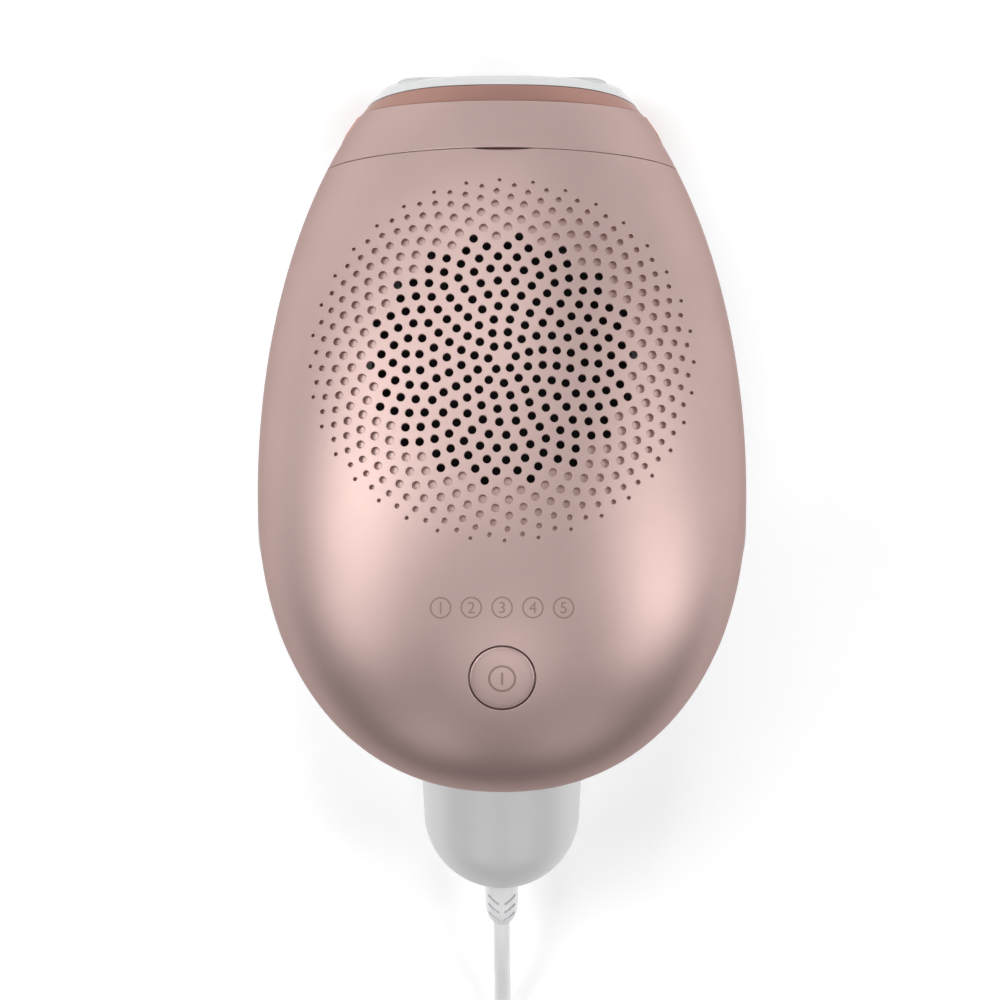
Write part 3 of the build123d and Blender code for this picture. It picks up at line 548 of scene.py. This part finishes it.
def sheet(egg, holes, rings, seam_y, notch, spacing):
    """Triangulates the surface round its holes; returns points, triangles, hole loops and the outer loop."""
    flat = [egg.to_disc(ring[:, 0], ring[:, 1]) for ring in rings]
    edge = outline(egg, seam_y, notch)
    loops, edges, count = [], [], 0
    for loop in flat + [edge]:
        index = np.arange(count, count + len(loop))
        loops.append(index)
        edges.extend(zip(index.tolist(), np.roll(index, -1).tolist()))
        count += len(loop)
    lines = []
    for i, row in enumerate(np.arange(-1, 1, spacing * ROW_SHARE)):
        along = np.arange(-1 + (i % 2) * spacing / 2, 1, spacing)
        lines.append(np.c_[along, np.full(len(along), row)])
    grid = np.concatenate(lines)
    reach = np.hypot(*edge[-1])
    grid = grid[np.hypot(grid[:, 0], grid[:, 1]) < reach - spacing * 0.6]
    solid = egg.from_disc(grid)
    centres = np.array(holes)

    def share(at):
        """Distance from each hole's centre, as a share of its radius."""
        across = (at[:, None, 0] - centres[:, 0]) / centres[:, 2]
        along = (at[:, None, 1] - centres[:, 1]) / centres[:, 3]
        return np.hypot(across, along)

    clear = ((share(solid) - 1) * centres[:, 2]).min(1) > HOLE_MARGIN
    clear &= solid[:, 1] < seam_line(solid[:, 0], seam_y, notch) - SEAM_MARGIN
    flat_all = np.concatenate(flat + [edge, grid[clear]])
    made = delaunay_2d_cdt([Vector(p) for p in flat_all.tolist()], edges, [], 0, 1e-9)
    flat_all = np.array([tuple(v) for v in made[0]])
    tris = np.array(made[2])
    points = egg.from_disc(flat_all)
    middle_flat = flat_all[tris].mean(1)
    middle = egg.from_disc(middle_flat)
    inside = np.hypot(middle_flat[:, 0], middle_flat[:, 1]) < reach * math.cos(TAU / ARC_STEPS / 2)
    inside &= middle[:, 1] < seam_line(middle[:, 0], seam_y, notch) - 0.002
    inside &= share(middle).min(1) > 0.985
    tris = tris[inside]
    a, b, c = (points[tris[:, i]][:, :2] for i in range(3))
    area = (b[:, 0] - a[:, 0]) * (c[:, 1] - a[:, 1]) - (b[:, 1] - a[:, 1]) * (c[:, 0] - a[:, 0])
    tris[area < 0] = tris[area < 0][:, ::-1]
    return points, tris, loops[:-1], loops[-1]


def vent_walls(build, places, loops, normal, floors):
    """Rims and walls of the vents and dimples; floors are the inner wall's loops for the vents."""
    angle = np.arange(CIRCLE_STEPS) * TAU / CIRCLE_STEPS
    inward = -np.c_[np.cos(angle), np.sin(angle), np.zeros(CIRCLE_STEPS)]
    up = np.tile((0.0, 0.0, 1.0), (CIRCLE_STEPS, 1))
    floors = iter(floors)
    for (x, y, r, through), loop in zip(places, loops):
        xy = circle(x, y, r, CIRCLE_STEPS)
        rim_z = upper.rise(xy[:, 0], xy[:, 1]) - RIM
        rim_ids = build.add(np.c_[xy, rim_z])
        surface = normal[loop]
        soft = unit(surface + inward)
        build.strip(loop, rim_ids, surface, soft)
        if through:
            build.strip(rim_ids, next(floors), soft, inward)
            continue
        floor_z = rim_z - DIMPLE_DEPTH
        floor_ids = build.add(np.c_[circle(x, y, r * DIMPLE_FLOOR, CIRCLE_STEPS), floor_z])
        build.strip(rim_ids, floor_ids, soft, inward * 0.9 + up * 0.3)
        middle = build.add([(x, y, floor_z.mean() - 0.04)])
        build.fan(floor_ids, middle[0], surface, surface.mean(0))


def opening_wall(build, loop, under_loop, surface):
    """Rim and wall of the button's opening."""
    around = np.arange(OPENING_STEPS) * TAU / OPENING_STEPS
    side = -(np.cos(around)[:, None] * (1, 0, 0) + np.sin(around)[:, None] * button_north)
    rim_ids = build.add(on_button_axis(OPENING_R, upper, OPENING_STEPS) - RIM * button_up)
    build.strip(loop, rim_ids, surface, unit(surface + side))
    build.strip(rim_ids, under_loop, side, side)


def shell_edge(build, edge, points, pull, under_edge, under, back):
    """Rounded rim, end face and inner corner along the seam and round the tail."""
    on_seam = np.arange(len(edge)) < SEAM_STEPS
    rim = points.copy()
    rim[on_seam, 1] += RIM
    rim[~on_seam, 2] = EDGE_BOTTOM_Z
    rim -= pull * RIM * np.where(on_seam, 1.0, 0.6)[:, None]
    face_dir = np.where(on_seam[:, None], (0, 1, 0), (0, 0, -1)).astype(float)
    rim_ids = build.add(rim)
    build.strip(rim_ids, edge, unit(pull + face_dir), pull)
    inner_rim = under.copy()
    inner_rim[~on_seam, 2] = EDGE_BOTTOM_Z
    inner_rim[on_seam, 1] = rim[on_seam, 1]
    inner_ids = build.add(inner_rim)
    build.strip(inner_ids, rim_ids, face_dir, face_dir)
    build.strip(under_edge, inner_ids, back, back)


def front_shell():
    """Rose-gold control face: a closed shell with rounded rims, vents, dimples and the button's opening."""
    places = vents()
    build = Builder()
    seam_y = SEAM_Y - SEAM_SHOWN / 2

    opening = on_button_axis(OPENING_R + RIM, upper, OPENING_STEPS)
    holes = [(x, y, r + RIM, r + RIM) for x, y, r, _ in places]
    holes.append((*opening.mean(0)[:2], np.abs(opening[:, 0]).max(), np.ptp(opening[:, 1]) / 2))
    rings = [circle(x, y, r, CIRCLE_STEPS) for x, y, r, _ in holes[:-1]] + [opening[:, :2]]
    points, tris, loops, edge = sheet(upper, holes, rings, seam_y - RIM, NOTCH_DEPTH, OUTER_SPACING)
    ids = build.add(points)
    normal = upper.normal(points)
    build.face(ids[tris], normal[tris])

    inner = Egg(TOP_HEIGHT, WALL_SHARE)
    opening = on_button_axis(OPENING_R, inner, OPENING_STEPS)
    holes = [(x, y, r, r) for x, y, r, through in places if through]
    rings = [circle(x, y, r, CIRCLE_STEPS) for x, y, r, _ in holes] + [opening[:, :2]]
    holes.append((*opening.mean(0)[:2], *np.ptp(opening[:, :2], axis=0) / 2))
    under, under_tris, under_loops, under_edge = sheet(inner, holes, rings, seam_y, 0, INNER_SPACING)
    under_ids = build.add(under)
    under_normal = -inner.normal(under)
    build.face(under_ids[under_tris[:, ::-1]], under_normal[under_tris[:, ::-1]])

    floors = [under_ids[loop] for loop in under_loops[:-1]]
    vent_walls(build, places, loops[:-1], normal, floors)
    opening_wall(build, ids[loops[-1]], under_ids[under_loops[-1]], normal[loops[-1]])
    shell_edge(
        build, ids[edge], points[edge], normal[edge], under_ids[under_edge], under[under_edge],
        -inner.normal(under[under_edge]),
    )
    return build.piece("control_face", "rose_shell")


shell = front_shell()
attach(shell, "housing")
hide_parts("front_shell")


# ---- pieces swept from closed profiles ----
SHARP_ANGLE = 38              # degrees past which an edge stays crisp


def sweep(name, sections, material, closed=True):
    """Mesh through closed profiles, one row of points for each station; open sweeps get flat ends."""
    sections = np.asarray(sections, float)
    stations, around = sections.shape[:2]
    grid = np.arange(stations * around).reshape(stations, around)
    last = stations if closed else stations - 1
    faces = []
    for i in range(last):
        here, there = grid[i], grid[(i + 1) % stations]
        nxt = np.roll(np.arange(around), -1)
        faces += np.c_[here, there, there[nxt], here[nxt]].tolist()
    if not closed:
        faces += [grid[0].tolist(), grid[-1][::-1].tolist()]
    mesh = bpy.data.meshes.new(name)
    mesh.from_pydata(place(sections.reshape(-1, 3)).tolist(), [], faces)
    return finish_mesh(name, mesh, material, SHARP_ANGLE)


def finish_mesh(name, mesh, material, sharp):
    """Outward faces, smooth shading with crisp corners, one material."""
    work = bmesh.new()
    work.from_mesh(mesh)
    bmesh.ops.remove_doubles(work, verts=work.verts, dist=1e-7)
    bmesh.ops.dissolve_degenerate(work, edges=work.edges, dist=1e-7)
    bmesh.ops.recalc_face_normals(work, faces=work.faces)
    work.to_mesh(mesh)
    work.free()
    mesh.polygons.foreach_set("use_smooth", [True] * len(mesh.polygons))
    mesh.set_sharp_from_angle(angle=math.radians(sharp))
    mesh.materials.append(MATERIALS[material])
    return link(name, mesh)


def own(piece, body, slot, *replaced):
    """Attaches the piece to its body and hides the CAD parts it replaces."""
    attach(piece, body)
    if replaced:
        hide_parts(*replaced)
    return piece


def nose_point(y, angle, inset):
    """Point of the nose's cross-section at y; positive angles are on the control face's side."""
    share = math.sqrt(max(1 - (y / NOSE_REACH) ** 2, 0))
    a = HALF_WIDTH * share
    b = (TOP_HEIGHT if angle > 0 else BOTTOM_HEIGHT) * share
    out = np.array([math.cos(angle) / a, math.sin(angle) / b])
    out /= np.linalg.norm(out)
    return np.array([a * math.cos(angle) - inset * out[0], y, b * math.sin(angle) - inset * out[1]])


def solve_y(angle, line, start):
    """Where the nose's surface, at this angle, meets a line y = line(x)."""
    y = start
    for _ in range(10):
        y = line(nose_point(y, angle, 0)[0])
    return y


def rounded_run(y0, y1, radius, rows):
    """Rows along a surface as (y, inset), with both ends rounded."""
    start = []
    for along in (0, 0.13, 0.5, 1):
        inset = radius * (1 - math.sqrt(1 - (1 - along) ** 2))
        start.append((y0 + radius * along, inset))
    end = [(y1 - (y - y0), inset) for y, inset in reversed(start)]
    middle = [(y, 0) for y in np.linspace(y0 + 2.5 * radius, y1 - 2.5 * radius, rows)]
    return start + middle + end


def band(name, material, angles, first, last, wall, radius, shape=None, closed=False, rows=8):
    """Part of the nose's wall between two lines, with rounded rims; shape changes a row's inset."""
    sections = []
    for angle in angles:
        y0 = solve_y(angle, first, SEAM_Y)
        y1 = max(solve_y(angle, last, CAP_END_Y), y0 + 0.02)
        edge = min(radius, (y1 - y0) / 6)
        outer = [
            nose_point(y, angle, inset + (shape(y, y0, nose_point(y, angle, 0)[0]) if shape else 0))
            for y, inset in rounded_run(y0, y1, edge, rows)
        ]
        inner = [nose_point(y, angle, wall) for y in np.linspace(y1, y0, 4)]
        sections.append(outer + inner)
    return sweep(name, sections, material, closed)


FINGER_LIP_HEIGHT = 0.32
FINGER_LIP_LENGTH = 1.3
FLANGE_START_Y = 65.0
FLANGE_RUN = 3.0
FLANGE_HEIGHT = 0.5
LEDGE_DEPTH = 0.12
CAP_WALL = 1.5
TRIM_WALL = 1.6               # leaves room for the safety ring to be pressed in


def seam_front(x):
    """The attachment's side of the seam."""
    return SEAM_Y + SEAM_SHOWN / 2 - x ** 2 / (2 * SEAM_ARC_R)


def cap_end(x):
    """Front of the cap, where the trim ring starts."""
    return CAP_END_Y - 0.05


def lip_border(x):
    """Line between the trim ring and the lip."""
    return LIP_BASE_Y - LIP_BASE_DROP * min(abs(x) / LIP_BASE_X, 1) ** 5


def trim_end(x):
    return lip_border(x) - 0.04


def finger_lip(y, y0, x):
    """Raised edge in the middle of the cap, which a finger pulls."""
    across = max(0, 1 - (x / NOTCH_HALF) ** 2)
    along = max(0, 1 - (y - y0) / FINGER_LIP_LENGTH)
    return -FINGER_LIP_HEIGHT * across * along ** 2


def flange(y, y0, x):
    """The underside stands slightly proud of the cap at its front edge."""
    share = min(max((y - FLANGE_START_Y) / FLANGE_RUN, 0), 1)
    return -FLANGE_HEIGHT * share * share * (3 - 2 * share)


def ledge(y, y0, x):
    """The trim ring lies a little under the cap's skin."""
    return LEDGE_DEPTH


top_angles = np.radians(np.linspace(0.5, 179.5, 200))
under_angles = np.radians(np.linspace(-0.5, -179.5, 160))
ring_angles = np.radians(np.linspace(0.9, 360.9, 300, endpoint=False))
ring_angles = np.where(ring_angles > math.pi, ring_angles - TAU, ring_angles)
cap = band("attachment_cover", "rose_shell", top_angles, seam_front, cap_end, CAP_WALL, 0.14, finger_lip)
own(cap, "attachment", "rose_shell", "attachment_cap")
cheeks = band("attachment_base", "copper_trim", under_angles, seam_front, cap_end, CAP_WALL, 0.3, flange)
own(cheeks, "attachment", "copper_trim", "attachment_underside")
trim = band(
    "trim_band", "copper_trim", ring_angles, cap_end, trim_end, TRIM_WALL, 0.16, ledge, closed=True, rows=5,
)
own(trim, "attachment", "copper_trim", "trim_ring")


def rounded_rect(width, height, corner, angles):
    """Points of a rounded rectangle in the directions of the given angles."""
    quarter = np.radians(np.linspace(0, 90, 24))
    corners = []
    for sx, sz, start in ((1, 1, 0), (-1, 1, 90), (-1, -1, 180), (1, -1, 270)):
        bearing = quarter + math.radians(start)
        centre = (sx * (width / 2 - corner), sz * (height / 2 - corner))
        corners.append(np.c_[np.cos(bearing), np.sin(bearing)] * corner + centre)
    outline = np.concatenate(corners)
    dense = np.concatenate([
        np.linspace(p, q, 12, endpoint=False) for p, q in zip(outline, np.roll(outline, -1, axis=0))
    ])
    spin = np.arctan2(dense[:, 1], dense[:, 0]) % TAU
    order = np.argsort(spin)
    reach = np.interp(angles % TAU, spin[order], np.hypot(*dense[order].T), period=TAU)
    return np.c_[reach * np.cos(angles), reach * np.sin(angles)]


LIP_ROUND = 1.1
WINDOW = (34.0, 13.0, 2.5)    # width, height and corner
GROOVE = (39.2, 18.2, 4.2)
LIP_PLUG = (40.6, 19.6, 5.0)
CHAMFER = 0.15
GROOVE_Y = 73.8
LIP_FLOOR_Y = 73.0
LIP_WALL = 2.2


def chamfered(size):
    """A rounded rectangle's size, with a chamfer all round."""
    return size[0] + 2 * CHAMFER, size[1] + 2 * CHAMFER, size[2] + CHAMFER


def window_lip():
    """White lip: rounded front edge, groove for the safety ring, window and seat."""
    spin = np.linspace(0, TAU, 240, endpoint=False) + 0.004
    signed = np.where(spin > math.pi, spin - TAU, spin)
    fronts = [nose_point(NOSE_END_Y, a, 0) for a in signed]
    polar = np.array([math.atan2(p[2], p[0]) for p in fronts])
    flats = [
        (rounded_rect(*chamfered(GROOVE), polar), NOSE_END_Y),
        (rounded_rect(*GROOVE, polar), NOSE_END_Y - CHAMFER),
        (rounded_rect(*GROOVE, polar), GROOVE_Y),
        (rounded_rect(*chamfered(WINDOW), polar), GROOVE_Y),
        (rounded_rect(*WINDOW, polar), GROOVE_Y - CHAMFER),
        (rounded_rect(*WINDOW, polar), LIP_FLOOR_Y),
        (rounded_rect(*LIP_PLUG, polar), LIP_FLOOR_Y),
    ]
    sections = []
    for i, angle in enumerate(signed):
        y0 = max(solve_y(angle, lip_border, CAP_END_Y), CAP_END_Y) + 0.03
        round_start = max(NOSE_END_Y - LIP_ROUND, y0 + 0.3)
        profile = [nose_point(y0, angle, 0.1), nose_point(y0 + 0.1, angle, 0.0)]
        profile += [nose_point(y, angle, 0) for y in np.linspace(y0 + 0.2, round_start, 4)]
        for a in np.radians((18, 36, 54, 72, 90)):
            along = round_start + (NOSE_END_Y - round_start) * math.sin(a)
            profile.append(nose_point(along, angle, LIP_ROUND * (1 - math.cos(a))))
        profile += [np.array([flat[i][0], y, flat[i][1]]) for flat, y in flats]
        profile.append(nose_point(y0, angle, LIP_WALL))
        sections.append(profile)
    return sweep("window_lip_white", sections, "white_lip")


own(window_lip(), "attachment", "white_lip", "window_lip")


# ---- button, icons and numbers ----
BUTTON_DOME_R = 52.0
BUTTON_EDGE = 0.28
BUTTON_SKIRT = 3.9            # depth of the skirt under the button's top
SKIRT_RIM = 1.4               # how far its rim stands out, under the shell
SKIRT_RIM_HEIGHT = 1.0
STEM_R = 1.6
STEM_END = 5.0


def on_button(local):
    """Points given across, along and out of the button, in the head's frame."""
    local = np.asarray(local, float)
    return button_at + local[:, :1] * (1, 0, 0) + local[:, 1:2] * button_north + local[:, 2:] * button_up


def dome(radius):
    """Height of the button's top, which falls away from its middle."""
    return math.sqrt(BUTTON_DOME_R ** 2 - radius ** 2) - BUTTON_DOME_R


def turned(name, profile, steps, placed, material, sharp=SHARP_ANGLE):
    """Body of revolution from (radius, height) pairs that start and end on the axis, set by placed()."""
    points, faces = [], []
    for radius, height in profile[1:-1]:
        around = circle(0, 0, radius, steps)
        points += np.c_[around, np.full(steps, height)].tolist()
    rows = len(profile) - 2
    first, last = len(points), len(points) + 1
    points += [(0, 0, profile[0][1]), (0, 0, profile[-1][1])]
    nxt = np.roll(np.arange(steps), -1)
    for row in range(rows - 1):
        low, high = np.arange(steps) + row * steps, np.arange(steps) + (row + 1) * steps
        faces += np.c_[low, low[nxt], high[nxt], high].tolist()
    for i in range(steps):
        faces.append((first, int(nxt[i]), i))
        faces.append((last, (rows - 1) * steps + i, (rows - 1) * steps + int(nxt[i])))
    mesh = bpy.data.meshes.new(name)
    mesh.from_pydata(placed(points).tolist(), [], faces)
    return finish_mesh(name, mesh, material, sharp)


button_profile = [(0, 0)] + [(r, dome(r)) for r in (1.2, 2.4, 3.6, 4.8, 5.5)]
for a in np.radians((90, 60, 30, 0)):
    edge_r = BUTTON_R - BUTTON_EDGE * (1 - math.cos(a))
    button_profile.append((edge_r, dome(BUTTON_R) - BUTTON_EDGE * (1 - math.sin(a))))
button_profile += [
    (BUTTON_R, SKIRT_RIM_HEIGHT - BUTTON_SKIRT),
    (BUTTON_R + SKIRT_RIM, SKIRT_RIM_HEIGHT - BUTTON_SKIRT),
    (BUTTON_R + SKIRT_RIM, -BUTTON_SKIRT),
    (STEM_R, -BUTTON_SKIRT), (STEM_R, -STEM_END), (0, -STEM_END),
]
power_key = turned("power_key_cap", button_profile, 96, lambda local: place(on_button(local)), "rose_button")
own(power_key, "power_key", "rose_button", "power_button")

INK = 0.02                    # thickness of printed marks


def printed(name, outlines, lift, body):
    """Thin printed marks: flat loops of triangles laid on a surface by lift()."""
    points, faces = [], []
    for loop_points, loop_faces in outlines:
        base = len(points)
        count = len(loop_points)
        flat = np.asarray(loop_points, float)
        points += lift(flat, INK).tolist() + lift(flat, -INK).tolist()
        faces += [[base + i for i in f] for f in loop_faces]
        faces += [[base + count + i for i in reversed(f)] for f in loop_faces]
        seen = {}
        for f in loop_faces:
            for a, b in zip(f, f[1:] + f[:1]):
                seen[(a, b)] = seen.get((a, b), 0) + 1
        for (a, b) in seen:
            if (b, a) not in seen:
                faces.append([base + b, base + a, base + count + a, base + count + b])
    mesh = bpy.data.meshes.new(name)
    mesh.from_pydata(place(points).tolist(), [], faces)
    piece = finish_mesh(name, mesh, "printed_ink", 30)
    return own(piece, body, "rose_shell")


def annulus(outer, inner, steps=64):
    """Flat ring."""
    loop = np.concatenate([circle(0, 0, outer, steps), circle(0, 0, inner, steps)])
    nxt = np.roll(np.arange(steps), -1)
    return loop, np.c_[np.arange(steps), nxt, nxt + steps, np.arange(steps) + steps].tolist()


def bar(width, length, steps=6):
    """Flat upright bar with round ends."""
    cap_angles = np.linspace(0, math.pi, steps + 1)
    top = np.c_[np.cos(cap_angles), np.sin(cap_angles)] * width / 2 + (0, length / 2 - width / 2)
    return np.concatenate([top, -top]), [list(range(2 * steps + 2))]


def lift_button(flat, height):
    """Flat marks to the button's top."""
    reach = np.hypot(flat[:, 0], flat[:, 1])
    return on_button(np.c_[flat, np.sqrt(BUTTON_DOME_R ** 2 - reach ** 2) - BUTTON_DOME_R + height])


printed("power_symbol", [annulus(2.58, 2.15), bar(0.42, 2.4)], lift_button, "power_key")


def digit(text, height):
    """Outline triangles of one digit of Blender's own typeface, centred."""
    font = bpy.data.curves.new("digit", "FONT")
    font.body = text
    font.align_x = "CENTER"
    font.resolution_u = 6
    holder = bpy.data.objects.new("digit", font)
    scene.collection.objects.link(holder)
    bpy.context.view_layer.update()
    mesh = bpy.data.meshes.new_from_object(holder.evaluated_get(bpy.context.evaluated_depsgraph_get()))
    flat = np.array([v.co[:2] for v in mesh.vertices])
    faces = [list(p.vertices) for p in mesh.polygons]
    bpy.data.objects.remove(holder)
    low, high = flat.min(0), flat.max(0)
    return (flat - (low + high) / 2) * height / (high[1] - low[1]), faces


def lift_at(cx):
    """Flat marks to the shell, in the row of numbers."""
    def lift(flat, height):
        x, y = flat[:, 0] + cx, flat[:, 1] + NUMBER_Y
        return np.c_[x, y, upper.rise(x, y) + height]
    return lift


for number in range(1, 6):
    marks = [annulus(1.96, 1.68), digit(str(number), 2.05)]
    printed(f"level_{number}", marks, lift_at((number - 3) * NUMBER_PITCH), "housing")


# ---- lead's plug, with a ribbed strain relief ----
def on_lead(points):
    """Points given across, up and along the lead, in millimetres, to the resting frame in metres."""
    x, up, along = np.asarray(points, float).T
    return np.c_[x, LEAD_Y / MM - along, LEAD_Z / MM + up] * MM


PLUG_PROFILE = [              # radius, and distance from the handle's end
    (0, -10), (2.6, -10), (2.7, -9.9), (2.7, -0.3), (4.5, -0.3), (4.5, 0.35), (4.42, 0.8), (4.2, 1.5),
    (3.92, 2.4), (3.72, 3.6), (3.58, 4.8), (3.5, 6.2), (3.47, 7.6), (3.44, 9.2), (3.36, 10.8), (3.22, 12.0),
    (2.95, 12.9), (2.55, 13.7), (2.15, 14.2), (1.95, 14.5), (0, 14.5),
]
SLOT_PLACES = (8.0, 10.1, 12.2)
SLOT_BEARINGS = (58, 122, 238, 302)
SLOT_TILT = 32
SLOT_SIZE = (3.0, 0.62, 1.9)
SLOT_R = 3.2                  # of the slots' middles


def slot_cutters():
    """Slanted blocks, in pairs above and below the lead, that cut the strain relief's slots."""
    cutters = bmesh.new()
    for side, bearing in enumerate(SLOT_BEARINGS):
        tilt = math.radians(SLOT_TILT if side % 2 else -SLOT_TILT)
        for along in SLOT_PLACES:
            made = bmesh.ops.create_cube(cutters, size=1)["verts"]
            shape = Matrix.Translation((0, 0, SLOT_R)) @ Matrix.Rotation(tilt, 4, "Z")
            shape = shape @ Matrix.Diagonal((*SLOT_SIZE, 1))
            around = Matrix.Rotation(math.radians(bearing - 90), 4, "Y")
            bmesh.ops.transform(cutters, matrix=around @ shape, verts=made)
            bmesh.ops.translate(cutters, vec=(0, -along, 0), verts=made)
    to_lead = Matrix.Translation((0, LEAD_Y, LEAD_Z)) @ Matrix.Scale(MM, 4)
    bmesh.ops.transform(cutters, matrix=to_lead, verts=cutters.verts)
    mesh = bpy.data.meshes.new("slots")
    cutters.to_mesh(mesh)
    cutters.free()
    return link("slots", mesh)


plug = turned("lead_strain_relief", PLUG_PROFILE, 72, on_lead, "lead_rubber", 50)
cut_piece = slot_cutters()
carve = plug.modifiers.new("slots", "BOOLEAN")
carve.object = cut_piece
carve.solver = "EXACT"
bpy.context.view_layer.update()
carved = bpy.data.meshes.new_from_object(plug.evaluated_get(bpy.context.evaluated_depsgraph_get()))
plug.modifiers.clear()
plug.data = carved
plug.data.set_sharp_from_angle(angle=math.radians(40))
bpy.data.objects.remove(cut_piece)
own(plug, "housing", "lead_rubber", "lead_plug")

# ---- floor, light ----
FLOOR_HALF = 3.0
FLOOR_DROP = 0.0002           # keeps the floor clear of what rests on it
floor_mesh = bpy.data.meshes.new("floor")
corners = [(-1, -1), (1, -1), (1, 1), (-1, 1)]
floor_mesh.from_pydata(
    [(sx * FLOOR_HALF, sy * FLOOR_HALF, -FLOOR_DROP) for sx, sy in corners], [], [(0, 1, 2, 3)],
)
floor = link("floor", floor_mesh)
floor_mesh.materials.append(new_material(
    "white_floor", (0.93, 0.93, 0.935), 0.7, Emission_Color=(1, 1, 1, 1), Emission_Strength=0.2,
))

world = bpy.data.worlds.new("studio")
scene.world = world
world.use_nodes = True
world.node_tree.nodes["Background"].inputs["Color"].default_value = (1, 1, 1, 1)
world.node_tree.nodes["Background"].inputs["Strength"].default_value = 0.01

LIGHT_DISTANCE = 1.0
LIT_POINT = Vector((0, 0, 0.045))
# azimuth from +X, elevation, side in metres, watts, casts shadows
SOFT_BOXES = [
    (150, 35, 0.42, 2.9, True), (180, 37, 0.42, 1.8, True), (120, 38, 0.42, 1.4, True),
    (0, 35, 0.42, 2.5, True), (30, 36, 0.42, 1.8, True), (90, 40, 0.42, 1.9, True),
    (0, 88, 0.42, 1.7, True), (240, 40, 0.5, 1.0, True), (300, 40, 0.5, 0.9, True),
    (0, 14, 0.5, 0.9, False), (30, 14, 0.5, 0.6, False), (60, 14, 0.5, 0.5, False), (90, 14, 0.5, 0.4, False),
    (120, 14, 0.5, 0.6, False), (150, 14, 0.5, 0.5, False), (180, 14, 0.5, 0.3, False),
]
for number, (azimuth, elevation, side, watts, shadows) in enumerate(SOFT_BOXES):
    level, bearing = math.radians(elevation), math.radians(azimuth)
    out = Vector((math.cos(level) * math.cos(bearing), math.cos(level) * math.sin(bearing), math.sin(level)))
    light = bpy.data.lights.new(f"soft_box_{number}", "AREA")
    light.shape = "SQUARE"
    light.size = side
    light.energy = watts
    light.use_shadow = shadows
    box = bpy.data.objects.new(light.name, light)
    scene.collection.objects.link(box)
    spun = out.to_track_quat("Z", "Y").to_matrix().to_4x4()
    box.matrix_world = Matrix.Translation(LIT_POINT + LIGHT_DISTANCE * out) @ spun
scene.view_settings.view_transform = "Standard"
